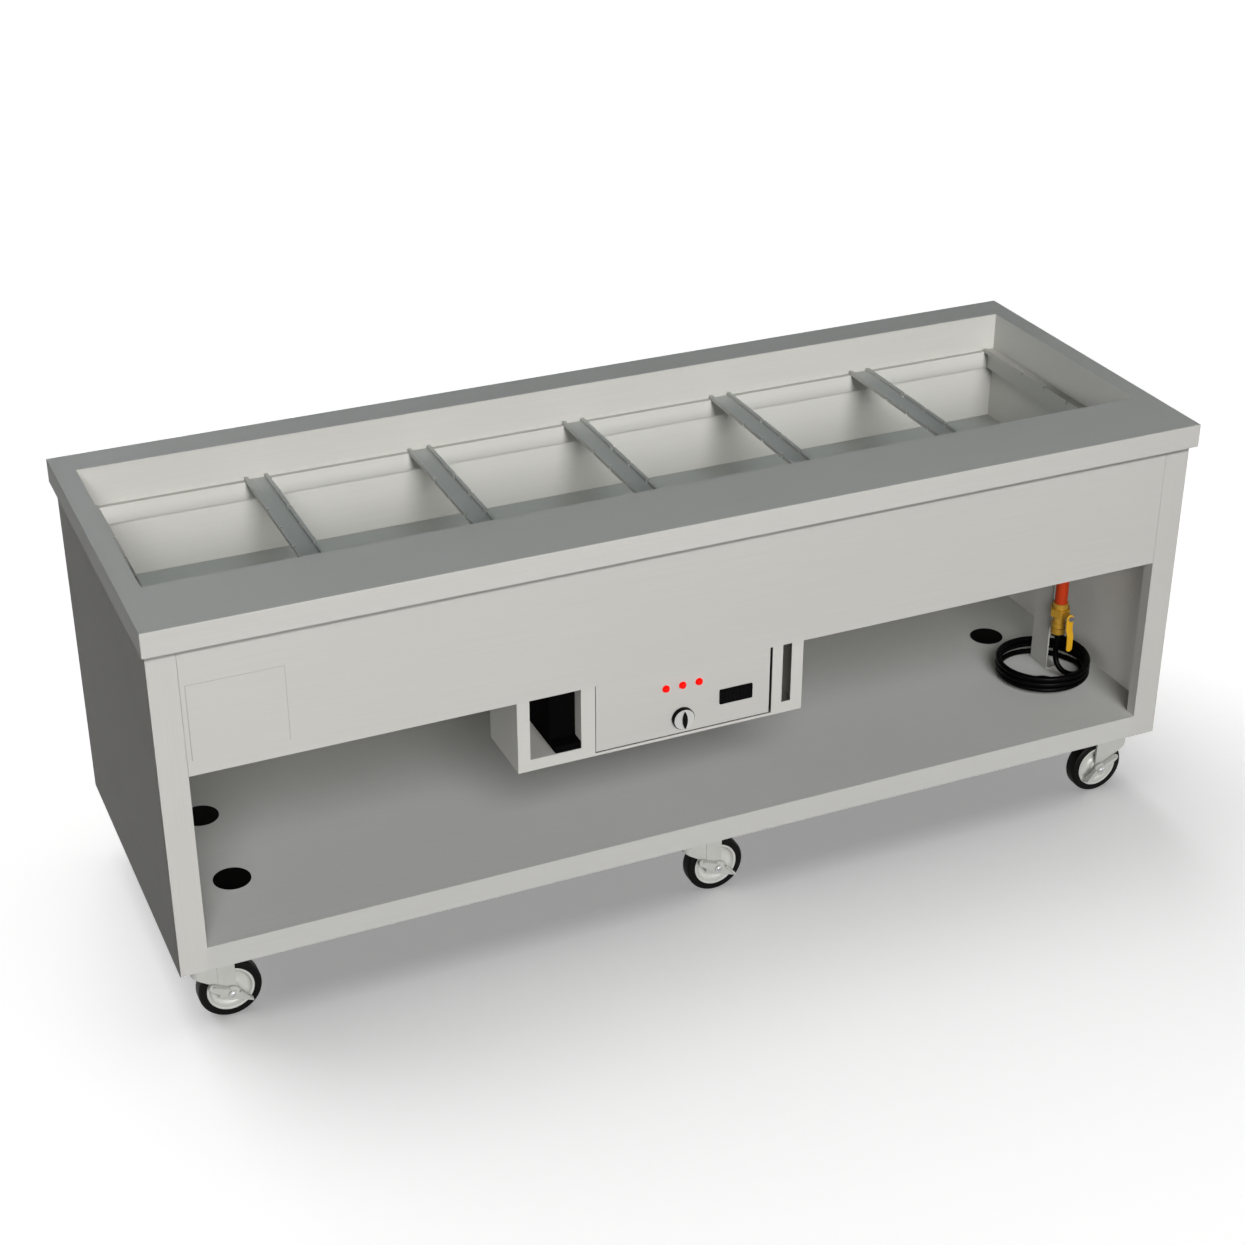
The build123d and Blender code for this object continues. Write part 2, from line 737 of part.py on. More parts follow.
# Ball valve body: outlet ring, groove, second ring, neck, hexagon, inlet collar and stem boss
valve_stack = [
    (valve_outlet_width, valve_outlet_length),
    (valve_groove_width, valve_groove_length),
    (valve_ring_width, valve_ring_length),
    (valve_neck_width, valve_neck_length),
    (valve_hex, valve_hex_length),
    (valve_inlet_width, valve_inlet_length),
]
valve_bottom = valve_top - sum(length for width, length in valve_stack)
outlet_top = valve_bottom + valve_outlet_length
ball_z = valve_top - valve_inlet_length - valve_hex_length / 2
lever_back_y = drain_y - stem_boss_reach - lever_gap
lever_front_y = lever_back_y - lever_sheet
stem_end_y = lever_front_y - stem_nut_length
with BuildPart() as valve_body:
    stage_z = valve_bottom
    for width, length in valve_stack:
        with BuildSketch(Plane.XY.offset(stage_z)):
            with Locations(drain_axis):
                if width == valve_hex:
                    RegularPolygon(width / 2, 6)
                else:
                    Circle(width / 2)
        extrude(amount=length)
        stage_z += length
    with BuildSketch(front_plane(drain_y)):
        with Locations((drain_x, ball_z)):
            Circle(stem_boss_width / 2)
    extrude(amount=stem_boss_reach)
    with BuildSketch(Plane.XY.offset(valve_bottom)):
        with Locations(drain_axis):
            Circle(valve_outlet_bore / 2)
    extrude(amount=valve_outlet_length, mode=Mode.SUBTRACT)
    with BuildSketch(Plane.XY.offset(outlet_top)):
        with Locations(drain_axis):
            Circle(valve_bore / 2)
    extrude(amount=valve_top - outlet_top, mode=Mode.SUBTRACT)
    with Locations((drain_x, drain_y, ball_z)):
        Sphere(ball_width / 2 + ball_gap, mode=Mode.SUBTRACT)
    with BuildSketch(front_plane(drain_y)):
        with Locations((drain_x, ball_z)):
            Circle(stem_width / 2 + stem_run_gap)
    extrude(amount=stem_boss_reach, mode=Mode.SUBTRACT)
write_piece(valve_body, "valve_body")

# Ball with its stem and the nut that holds the lever
with BuildPart() as valve_ball:
    with Locations((drain_x, drain_y, ball_z)):
        Sphere(ball_width / 2)
    with BuildSketch(Plane.XY.offset(ball_z)):
        with Locations(drain_axis):
            Circle(valve_bore / 2)
    extrude(amount=ball_width, both=True, mode=Mode.SUBTRACT)
    with BuildSketch(front_plane(drain_y - valve_bore / 2 - ball_gap)):
        with Locations((drain_x, ball_z)):
            Circle(stem_width / 2)
    extrude(amount=drain_y - valve_bore / 2 - ball_gap - stem_end_y)
    with BuildSketch(front_plane(lever_front_y)):
        with Locations((drain_x, ball_z)):
            RegularPolygon(stem_nut_width / 2, 6)
    extrude(amount=stem_nut_length)
write_piece(valve_ball, "valve_ball")

# Valve lever: strap hanging from the stem, cranked outwards below its hub
lever_tip_z = ball_z - lever_length - lever_tip_width / 2
lever_top_z = ball_z + lever_width / 2
crank_top = ball_z - lever_straight
crank_low = crank_top - lever_bend_drop
with BuildPart() as valve_lever:
    with BuildSketch(Plane.YZ.offset(drain_x)):
        with BuildLine():
            Polyline(
                (lever_back_y, lever_top_z),
                (lever_back_y, crank_top),
                (lever_back_y - lever_bend_out, crank_low),
                (lever_back_y - lever_bend_out, lever_tip_z),
                (lever_front_y - lever_bend_out, lever_tip_z),
                (lever_front_y - lever_bend_out, crank_low),
                (lever_front_y, crank_top),
                (lever_front_y, lever_top_z),
                close=True,
            )
        make_face()
    extrude(amount=lever_width / 2, both=True)
    with BuildSketch(front_plane(lever_back_y)):
        with Locations((drain_x, ball_z)):
            Circle(lever_width / 2)
        with Locations((drain_x, ball_z - lever_length)):
            Circle(lever_tip_width / 2)
        make_hull()
        with Locations((drain_x, ball_z)):
            Circle(stem_width / 2, mode=Mode.SUBTRACT)
    extrude(amount=lever_sheet + lever_bend_out, mode=Mode.INTERSECT)
write_piece(valve_lever, "valve_lever")

# Drain hose coil: three stacked turns, starting inside the ring on the shelf and climbing
coil_x = drain_x + coil_shift_x
coil_y = drain_y + coil_shift_y
coil_z = shelf_top + plug_flange + coil_rest_gap + hose_width / 2


def coil_point(turn):
    """Centre of the hose after the given number of turns from the coil's start."""
    ease = min(2 * turn, 1.0)
    radius = coil_radius - coil_start_inset * (1 - ease * ease * (3 - 2 * ease))
    angle = math.radians(coil_start_angle) + 2 * math.pi * turn
    return Vector(
        coil_x + radius * math.cos(angle),
        coil_y + radius * math.sin(angle),
        coil_z + coil_pitch * turn,
    )


def coil_tangent(turn):
    """Direction of the hose there, level at the start where it lies on the shelf."""
    step = 1e-4
    ahead = coil_point(min(turn + step, coil_turns))
    behind = coil_point(max(turn - step, 0.0))
    tangent = ahead - behind
    if turn == 0:
        tangent = Vector(tangent.X, tangent.Y, 0)
    return tangent.normalized()


def add_biarc(start, start_tangent, end, end_tangent):
    """Two arcs that leave the start and reach the end along the given tangents."""
    chord = end - start
    total = start_tangent + end_tangent
    bend = 2 * (1 - start_tangent.dot(end_tangent))
    along = chord.dot(total)
    reach = (-along + math.sqrt(along * along + bend * chord.dot(chord))) / bend
    first_corner = start + start_tangent * reach
    second_corner = end - end_tangent * reach
    middle = (first_corner + second_corner) * 0.5
    TangentArc(start, middle, tangent=start_tangent)
    TangentArc(middle, end, tangent=(second_corner - first_corner).normalized())


coil_steps = [step / 4 for step in range(4 * coil_turns + 1)]
coil_start = coil_point(0) - coil_tangent(0) * hose_width
coil_end = coil_point(coil_turns) + coil_tangent(coil_turns) * hose_width
with BuildPart() as drain_hose_coil:
    with BuildLine() as coil_route:
        Line(coil_start, coil_point(0))
        for before, after in zip(coil_steps, coil_steps[1:]):
            add_biarc(coil_point(before), coil_tangent(before), coil_point(after), coil_tangent(after))
        Line(coil_point(coil_turns), coil_end)
    with BuildSketch(Plane(origin=coil_start, z_dir=coil_tangent(0))):
        Circle(hose_width / 2)
    sweep(path=coil_route.line)
write_piece(drain_hose_coil, "drain_hose_coil")

coil_samples = [coil_point(i / 72) for i in range(72 * coil_turns + 1)]
coil_gap = min(
    (coil_samples[i] - coil_samples[j]).length - hose_width
    for i in range(len(coil_samples))
    for j in range(i + 36, len(coil_samples))
)
coil_length = sum(edge.length for edge in coil_route.edges())
print(f"drain hose coil: least gap to itself {coil_gap:.2f} mm, length {coil_length:.0f} mm")

# Coupling on the hose's free end
coupling_plane = Plane(origin=coil_end, z_dir=coil_tangent(coil_turns))
with BuildPart() as hose_coupling:
    with BuildSketch(coupling_plane):
        Circle(coupling_width / 2)
    extrude(amount=coupling_length)
    chamfer(edges().filter_by(GeomType.CIRCLE), length=1.5)
    with BuildSketch(coupling_plane.offset(coupling_length)):
        Circle(nozzle_width / 2)
    extrude(amount=nozzle_length)
write_piece(hose_coupling, "hose_coupling")

# Drain hose lead: down from the valve, round onto the shelf and along the inside of the coil
lead_points = [
    Vector(drain_x, drain_y, valve_bottom),
    Vector(991.2, -155.0, 299.0),
    Vector(989.5, -155.3, 266.0),
    Vector(991.6, -165.2, 243.0),
    Vector(1003.8, -176.8, 228.2),
    Vector(1023.5, -183.0, 221.2),
    Vector(1044.0, -178.8, 218.5),
    Vector(1059.5, -165.5, 218.6),
    Vector(1066.8, -147.0, 218.5),
    coil_start - coil_tangent(0) * lead_end_run,
    coil_start,
]
lead_radii = []
for before, corner, after in zip(lead_points, lead_points[1:], lead_points[2:]):
    turn = (corner - before).get_angle(after - corner)
    shorter = min((corner - before).length, (after - corner).length)
    lead_radii.append(0.45 * shorter / math.tan(math.radians(turn / 2)))
with BuildPart() as drain_hose:
    with BuildLine() as lead_route:
        FilletPolyline(*lead_points, radius=lead_radii)
    with BuildSketch(Plane(origin=lead_points[0], z_dir=lead_route.line % 0)):
        Circle(hose_width / 2)
    sweep(path=lead_route.line)
write_piece(drain_hose, "drain_hose")
print("drain hose lead: radii", [round(radius) for radius in lead_radii])
lead_length = sum(edge.length for edge in lead_route.edges())
lead_fill = drain_hose.part.volume / (math.pi * hose_width**2 / 4 * lead_length)
print(f"drain hose lead: length {lead_length:.0f} mm, volume over section times length {lead_fill:.4f}")

# Control box: open-fronted housing under the well with a bay, a panel opening and a slot
control_front = body_front + control_setback
control_back = control_front + control_depth
control_top = jacket_bottom
control_bottom = control_top - control_height
bay_left = control_left + stile
bay_right = bay_left + bay_width
opening_left = bay_right + left_mullion
panel_left = opening_left + panel_left_reveal
panel_right = panel_left + panel_width
opening_right = panel_right + panel_right_reveal
slot_left = opening_right + right_mullion
slot_right = slot_left + slot_width
control_right = slot_right + stile
inner_floor = control_bottom + control_sheet
inner_top = control_top - control_sheet
inner_front = control_front + control_sheet
sill_top = control_bottom + sill
lintel = control_top - sill
opening_bottom = control_bottom + panel_sill
panel_bottom = opening_bottom + panel_low_reveal
bay_spans = [
    (control_left + control_sheet, bay_right),
    (bay_right + control_sheet, slot_left - control_sheet),
    (slot_left, control_right - control_sheet),
]
with BuildPart() as control_box:
    with BuildSketch(front_plane(control_front)):
        with Locations(((control_left + control_right) / 2, (control_bottom + control_top) / 2)):
            Rectangle(control_right - control_left, control_height)
    extrude(amount=-control_depth)
    with BuildSketch(front_plane(inner_front)):
        for low, high in bay_spans:
            with Locations(((low + high) / 2, (inner_floor + inner_top) / 2)):
                Rectangle(high - low, inner_top - inner_floor)
    extrude(amount=-(control_depth - 2 * control_sheet), mode=Mode.SUBTRACT)
    with BuildSketch(Plane.XY.offset(sill_top)):
        with Locations(((bay_spans[0][0] + bay_right) / 2, (inner_front + control_back) / 2)):
            Rectangle(bay_right - bay_spans[0][0], control_back - inner_front)
    extrude(amount=-control_sheet)
    with BuildSketch(front_plane(control_back)):
        with Locations(((bay_spans[0][0] + bay_right) / 2, (inner_floor + sill_top - control_sheet) / 2)):
            Rectangle(bay_right - bay_spans[0][0], sill_top - control_sheet - inner_floor)
    extrude(amount=control_sheet, mode=Mode.SUBTRACT)
    with BuildSketch(front_plane(control_front)):
        for low, high in ((bay_left, bay_right), (slot_left, slot_right)):
            with Locations(((low + high) / 2, (sill_top + lintel) / 2)):
                Rectangle(high - low, lintel - sill_top)
        with Locations(((opening_left + opening_right) / 2, (opening_bottom + inner_top) / 2)):
            Rectangle(opening_right - opening_left, inner_top - opening_bottom)
    extrude(amount=-control_sheet, mode=Mode.SUBTRACT)
    with BuildSketch(Plane.XY.offset(inner_top)):
        with Locations(*terminal_spots):
            Circle(element_hole)
    extrude(amount=control_sheet, mode=Mode.SUBTRACT)
write_piece(control_box, "control_box")

# Control panel: plate in the opening, hung by a flange under the box's top
panel_mid = (panel_left + panel_right) / 2
knob_x = panel_mid + knob_shift
knob_z = control_bottom + knob_rise
light_spots = [(knob_x + i * light_pitch, control_bottom + light_rise) for i in (-1, 0, 1)]
display_spot = (panel_mid + display_shift, control_bottom + display_rise)
with BuildPart() as control_panel:
    with BuildSketch(front_plane(control_front)):
        with Locations((panel_mid, (panel_bottom + inner_top) / 2)):
            Rectangle(panel_width, inner_top - panel_bottom)
        with Locations(*light_spots):
            Circle(light_barrel / 2 + fit_gap, mode=Mode.SUBTRACT)
        with Locations((knob_x, knob_z)):
            Circle(bush_width / 2 + fit_gap, mode=Mode.SUBTRACT)
        with Locations(display_spot):
            Rectangle(display_body_width + 2 * fit_gap, display_body_height + 2 * fit_gap, mode=Mode.SUBTRACT)
    extrude(amount=-control_sheet)
    with BuildSketch(front_plane(control_front)):
        with Locations((panel_mid, inner_top - control_sheet / 2)):
            Rectangle(panel_width, control_sheet)
    extrude(amount=-panel_flange_depth)
write_piece(control_panel, "control_panel")

# Pilot lights: domed lenses seated on the panel, barrels through it
with BuildPart() as pilot_lights:
    with BuildSketch(front_plane(control_front)):
        with Locations(*light_spots):
            Circle(light_width / 2)
    extrude(amount=light_rim)
    with BuildSketch(front_plane(control_front)):
        with Locations(*light_spots):
            Circle(light_barrel / 2)
    extrude(amount=-light_barrel_length)
    with Locations(*[(x, control_front - light_rim, z) for x, z in light_spots]):
        Sphere(
            light_width / 2 - light_rim / 2,
            arc_size1=0,
            rotation=(90, 0, 0),
            align=(Align.CENTER, Align.CENTER, Align.MIN),
        )
write_piece(pilot_lights, "pilot_lights")

# Digital temperature display
with BuildPart() as display_module:
    with BuildSketch(front_plane(control_front)):
        with Locations(display_spot):
            RectangleRounded(display_width, display_height, display_corner)
    extrude(amount=display_bezel)
    with BuildSketch(front_plane(control_front)):
        with Locations(display_spot):
            Rectangle(display_body_width, display_body_height)
    extrude(amount=-display_body_depth)
write_piece(display_module, "display_module")

# Thermostat behind the panel, with its bush through it
panel_back = control_front + control_sheet
with BuildPart() as thermostat_body:
    with BuildSketch(front_plane(panel_back)):
        with Locations((knob_x, knob_z)):
            Rectangle(thermostat_width, thermostat_width)
    extrude(amount=-thermostat_depth)
    with BuildSketch(front_plane(panel_back)):
        with Locations((knob_x, knob_z)):
            Circle(bush_width / 2)
    extrude(amount=control_sheet)
    with BuildSketch(front_plane(control_front)):
        with Locations((knob_x, knob_z)):
            Circle(shaft_width / 2 + shaft_run_gap)
    extrude(amount=-(shaft_reach + fit_gap), mode=Mode.SUBTRACT)
write_piece(thermostat_body, "thermostat_body")

# Thermostat knob: skirt, face, lens-shaped grip, and the shaft it turns
knob_back = control_front - knob_gap
knob_face_y = knob_back - knob_skirt
grip_y = knob_face_y - knob_face
grip_radius = (grip_length**2 / 4 + grip_width**2 / 4) / grip_width
with BuildPart() as thermostat_knob:
    with BuildSketch(front_plane(knob_back)):
        with Locations((knob_x, knob_z)):
            Circle(knob_width / 2)
    extrude(amount=knob_skirt)
    with BuildSketch(front_plane(knob_face_y)):
        with Locations((knob_x, knob_z)):
            Circle(knob_face_width / 2)
    extrude(amount=knob_face)
    with BuildSketch(front_plane(grip_y)):
        with Locations((knob_x + grip_radius - grip_width / 2, knob_z)):
            Circle(grip_radius)
        with Locations((knob_x - grip_radius + grip_width / 2, knob_z)):
            Circle(grip_radius, mode=Mode.INTERSECT)
    extrude(amount=grip_height)
    with BuildSketch(front_plane(knob_back)):
        with Locations((knob_x, knob_z)):
            Circle(shaft_width / 2)
    extrude(amount=-(knob_gap + shaft_reach))
write_piece(thermostat_knob, "thermostat_knob")

# Black intake filter: slab along the right side of the open bay, with a low foot to the front
filter_left = bay_left + filter_inset
filter_front = control_front + filter_setback
filter_width = bay_right - filter_left
filter_x = (filter_left + bay_right) / 2
with BuildPart() as intake_filter:
    with BuildSketch(front_plane(filter_front)):
        with Locations((filter_x, (sill_top + inner_top) / 2)):
            Rectangle(filter_width, inner_top - sill_top)
    extrude(amount=-(control_back - control_sheet - filter_front))
    with BuildSketch(front_plane(filter_front)):
        with Locations((filter_x, sill_top + filter_foot / 2)):
            Rectangle(filter_width, filter_foot)
    extrude(amount=filter_front - inner_front)
write_piece(intake_filter, "intake_filter")

# Caster top plates: plate, upper race and king pin with its head
pin_bottom = crown_under - race_gap - king_head_height
with BuildPart() as caster_plates:
    with BuildSketch(Plane.XY.offset(body_bottom)):
        with Locations(*caster_spots):
            Rectangle(plate_width, plate_length)
    extrude(amount=-plate_sheet)
    with BuildSketch(Plane.XY.offset(plate_under)):
        with Locations(*caster_spots):
            Circle(race_width / 2)
    extrude(amount=-upper_race, taper=10)
    with BuildSketch(Plane.XY.offset(plate_under - upper_race)):
        with Locations(*caster_spots):
            Circle(king_pin / 2)
    extrude(amount=-(plate_under - upper_race - pin_bottom))
    with BuildSketch(Plane.XY.offset(pin_bottom)):
        with Locations(*caster_spots):
            Circle(king_head / 2)
    extrude(amount=king_head_height)
write_piece(caster_plates, "caster_plates")

fork_inner = hub_length / 2 + fork_gap
fork_half = fork_inner + fork_sheet
leg_face = fork_half + leg_strap
leg_front = caster_trail - leg_lead
leg_rear = caster_trail + leg_tail
leg_middle = (leg_front + leg_rear) / 2
stub_end = leg_face + stub_shoulder_length + pedal_gap + pedal_sheet + pedal_gap
fork_bottom = axle_height - leg_foot


def caster_fork(x, y, facing, braked, name):
    """One pressed fork with its lower race and fixed axle, and a brake stub to the front if braked."""
    plan = Plane(origin=(x, y, fork_bottom), x_dir=(facing, 0, 0), z_dir=(0, 0, 1))
    side = Plane(origin=(x, y, 0), x_dir=(facing, 0, 0), z_dir=(0, -facing, 0))
    with BuildPart() as fork:
        with BuildSketch(plan):
            with Locations(((leg_rear - fork_nose) / 2, 0)):
                Rectangle(leg_rear + fork_nose, 2 * fork_half)
            fillet(vertices().group_by(Axis.X)[0], radius=fork_nose_round)
        extrude(amount=crown_top - fork_bottom)
        with BuildSketch(plan):
            with Locations(((2 * leg_rear - fork_nose + fork_sheet) / 2, 0)):
                Rectangle(2 * leg_rear + fork_nose - fork_sheet, 2 * fork_inner)
            fillet(vertices().group_by(Axis.X)[0], radius=fork_nose_round - fork_sheet)
        extrude(amount=crown_under - fork_bottom, mode=Mode.SUBTRACT)
        with BuildSketch(side):
            with BuildLine():
                Polyline(
                    (-fork_nose, crown_top),
                    (-fork_nose, crown_top - skirt_nose_drop),
                    (leg_front, crown_top - skirt_leg_drop),
                    (leg_front, fork_bottom),
                    (leg_rear, fork_bottom),
                    (leg_rear, crown_top),
                    close=True,
                )
            make_face()
            fillet(vertices().group_by(Axis.Y)[0], radius=leg_round)
        extrude(amount=fork_half, both=True, mode=Mode.INTERSECT)
        for way in (-1, 1):
            with BuildSketch(side.offset(way * fork_half)):
                with Locations((leg_middle, (fork_bottom + crown_top) / 2)):
                    Rectangle(leg_rear - leg_front, crown_top - fork_bottom)
                fillet(vertices().group_by(Axis.Y)[0], radius=leg_round)
            extrude(amount=way * leg_strap)
        with BuildSketch(plan.offset(crown_top - fork_bottom)):
            Circle(race_width / 2)
        extrude(amount=lower_race)
        with BuildSketch(plan.offset(crown_under - fork_bottom)):
            Circle(king_pin / 2 + axle_run_gap)
        extrude(amount=race_top - crown_under, mode=Mode.SUBTRACT)
        with BuildSketch(side):
            with Locations((caster_trail, axle_height)):
                Circle(axle_width / 2)
        extrude(amount=fork_half, both=True)
        with BuildSketch(side.offset(-facing * leg_face)):
            with Locations((caster_trail, axle_height)):
                RegularPolygon(axle_nut / 2, 6)
        extrude(amount=-facing * axle_nut_length)
        with BuildSketch(side.offset(facing * leg_face)):
            with Locations((caster_trail, axle_height)):
                if braked:
                    Circle(stub_shoulder / 2)
                else:
                    RegularPolygon(axle_nut / 2, 6)
        extrude(amount=facing * stub_shoulder_length)
        if braked:
            with BuildSketch(side):
                with Locations((caster_trail, axle_height)):
                    Circle(axle_width / 2)
            extrude(amount=facing * stub_end)
            with BuildSketch(side.offset(facing * stub_end)):
                with Locations((caster_trail, axle_height)):
                    Circle(stub_head / 2)
            extrude(amount=facing * stub_head_length)
    write_piece(fork, name)


def caster_wheel(x, y, facing, wheel_name, tyre_name):
    """One wheel: dished metal centre, and the rubber tyre on its rim."""
    hub_x = x + facing * caster_trail
    axle = Axis((hub_x, y, axle_height), (0, 1, 0))
    section = Plane(origin=(hub_x, y, axle_height), x_dir=(0, 1, 0), z_dir=(1, 0, 0))
    bore = axle_width / 2 + axle_run_gap
    rim = rim_width_across / 2
    with BuildPart() as wheel:
        with BuildSketch(section):
            with BuildLine():
                half_profile = Polyline(
                    (0, bore),
                    (hub_length / 2, bore),
                    (hub_length / 2, hub_width / 2),
                    (web_thickness / 2, hub_width / 2 + rim_wall),
                    (web_thickness / 2, rim - 2 * rim_wall),
                    (tread_width / 2, rim - rim_wall),
                    (tread_width / 2, rim),
                    (0, rim),
                )
                mirror(half_profile, about=Plane.YZ)
            make_face()
        revolve(axis=axle)
    write_piece(wheel, wheel_name)
    with BuildPart() as tyre:
        with BuildSketch(section):
            with Locations((0, (rim + axle_height) / 2)):
                Rectangle(tread_width, axle_height - rim)
            chamfer(vertices().group_by(Axis.Y)[-1], length=tyre_shoulder)
        revolve(axis=axle)
    write_piece(tyre, tyre_name)


def brake_pedal(x, y, facing, name):
    """One rocking brake pedal on the axle's front stub, with a foot tread along each arm's upper edge."""
    hub_x = x + facing * caster_trail
    back = y - leg_face - stub_shoulder_length - pedal_gap
    lead_tip = (hub_x - facing * pedal_lead_reach, axle_height + pedal_lead_rise)
    tail_tip = (hub_x + facing * pedal_tail_reach, axle_height - pedal_tail_drop)
    with BuildPart() as pedal:
        for tip, tip_width in ((lead_tip, pedal_lead_tip), (tail_tip, pedal_tail_tip)):
            with BuildSketch(front_plane(back)):
                with Locations((hub_x, axle_height)):
                    Circle(pedal_waist / 2)
                with Locations(tip):
                    Circle(tip_width / 2)
                make_hull()
            extrude(amount=pedal_sheet)
            arm = Vector(tip[0] - hub_x, tip[1] - axle_height).normalized()
            up = Vector(-arm.Y, arm.X) if arm.X > 0 else Vector(arm.Y, -arm.X)
            root = Vector(hub_x, axle_height) + arm * tread_start + up * (pedal_waist - tread_sheet) / 2
            end = Vector(*tip) + up * (tip_width - tread_sheet) / 2
            with BuildSketch(front_plane(back - pedal_sheet)):
                with Locations((root.X, root.Y), (end.X, end.Y)):
                    Circle(tread_sheet / 2)
                make_hull()
            extrude(amount=tread_reach)
        with BuildSketch(front_plane(back)):
            with Locations((hub_x, axle_height)):
                Circle(pedal_hub / 2)
        extrude(amount=pedal_sheet)
        with BuildSketch(front_plane(back)):
            with Locations((hub_x, axle_height)):
                Circle(axle_width / 2 + axle_run_gap)
        extrude(amount=pedal_sheet, mode=Mode.SUBTRACT)
    write_piece(pedal, name)


for place, (x, y, facing) in caster_table.items():
    braked = place.startswith("front")
    caster_fork(x, y, facing, braked, f"caster_fork_{place}")
    caster_wheel(x, y, facing, f"caster_wheel_{place}", f"caster_tyre_{place}")
    if braked:
        brake_pedal(x, y, facing, f"brake_pedal_{place}")
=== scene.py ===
"""Looks of a hot and cold serving counter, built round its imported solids.

Metres, in the frame of the solids: +X runs along the counter to the drain end, -Y faces the operator,
+Z is up.
"""

import logging
import math
from dataclasses import dataclass
from enum import Enum
from typing import Sequence

import bmesh
import bpy
from mathutils import Matrix, Vector


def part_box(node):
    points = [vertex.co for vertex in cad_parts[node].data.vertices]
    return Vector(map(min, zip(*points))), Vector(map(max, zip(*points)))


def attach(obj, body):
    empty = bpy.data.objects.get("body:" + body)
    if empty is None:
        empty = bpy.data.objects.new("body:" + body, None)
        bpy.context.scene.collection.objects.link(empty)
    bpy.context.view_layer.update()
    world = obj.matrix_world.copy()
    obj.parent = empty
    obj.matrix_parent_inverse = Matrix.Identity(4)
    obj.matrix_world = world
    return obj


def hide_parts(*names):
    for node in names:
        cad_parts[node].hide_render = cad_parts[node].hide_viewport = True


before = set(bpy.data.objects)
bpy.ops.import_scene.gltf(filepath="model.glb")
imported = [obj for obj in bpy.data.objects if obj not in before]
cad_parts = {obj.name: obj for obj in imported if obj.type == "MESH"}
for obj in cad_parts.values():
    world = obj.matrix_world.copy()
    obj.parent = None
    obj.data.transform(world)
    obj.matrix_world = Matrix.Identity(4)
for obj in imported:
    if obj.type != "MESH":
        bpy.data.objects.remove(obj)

log = logging.getLogger("serving_counter")

Socket = bpy.types.NodeSocket
Piece = bpy.types.Object
Mesh = bmesh.types.BMesh
Pair = tuple[float, float]
Profile = tuple[Pair, ...]
Names = tuple[str, ...]
Looks = dict[str, object]
Point = tuple[float, float, float]
Colour = tuple[float, float, float, float]

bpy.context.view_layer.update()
COUNTER = "counter"
FLOOR = "floor"
FRONT = ("front_apron", "access_cover", "cover_rim_painted_shadow", "left_front_post", "right_front_post")
WALLS = ("liner_walls", "pan_rails")
FLAGGED = (*WALLS, "liner_floor", "undershelf", "left_end_panel", *FRONT)
BARS = tuple(f"pan_bar_{number}" for number in range(1, 6))
SIDES = (-1, 1)
CORNERS = ((-1, -1), (-1, 1), (1, -1), (1, 1))
THREE = (-1, 0, 1)
FORWARD = (0.0, -1.0, 0.0)
BACKWARD = (0.0, 1.0, 0.0)
WHITE = (1.0, 1.0, 1.0, 1.0)
# Sockets of a Mix node for colours, whose names it gives to other sockets too
MIX_SHARE, MIX_FIRST, MIX_SECOND, MIX_COLOUR = 0, 6, 7, 2
WELD = 1e-6
SOLID_WELD = 2e-6
FLAT_WITHIN = math.radians(0.4)
BLOCK_EDGE = math.radians(30.0)
SMOOTH_BELOW = math.radians(35.0)
EASED_ABOVE = math.radians(40.0)


def srgb(red: int, green: int, blue: int) -> Colour:
    """Turn an 8-bit display colour into a linear one.

    Args:
        red, green, blue: The display colour, from 0 to 255.

    Returns:
        The linear colour, opaque.
    """
    linear = [
        v / 12.92 if v <= 0.04045 else ((v + 0.055) / 1.055) ** 2.4
        for v in (red / 255, green / 255, blue / 255)
    ]
    return (linear[0], linear[1], linear[2], 1.0)


def shaded(colour: Colour, factor: float) -> Colour:
    """The colour made lighter or darker by a factor."""
    return (colour[0] * factor, colour[1] * factor, colour[2] * factor, 1.0)


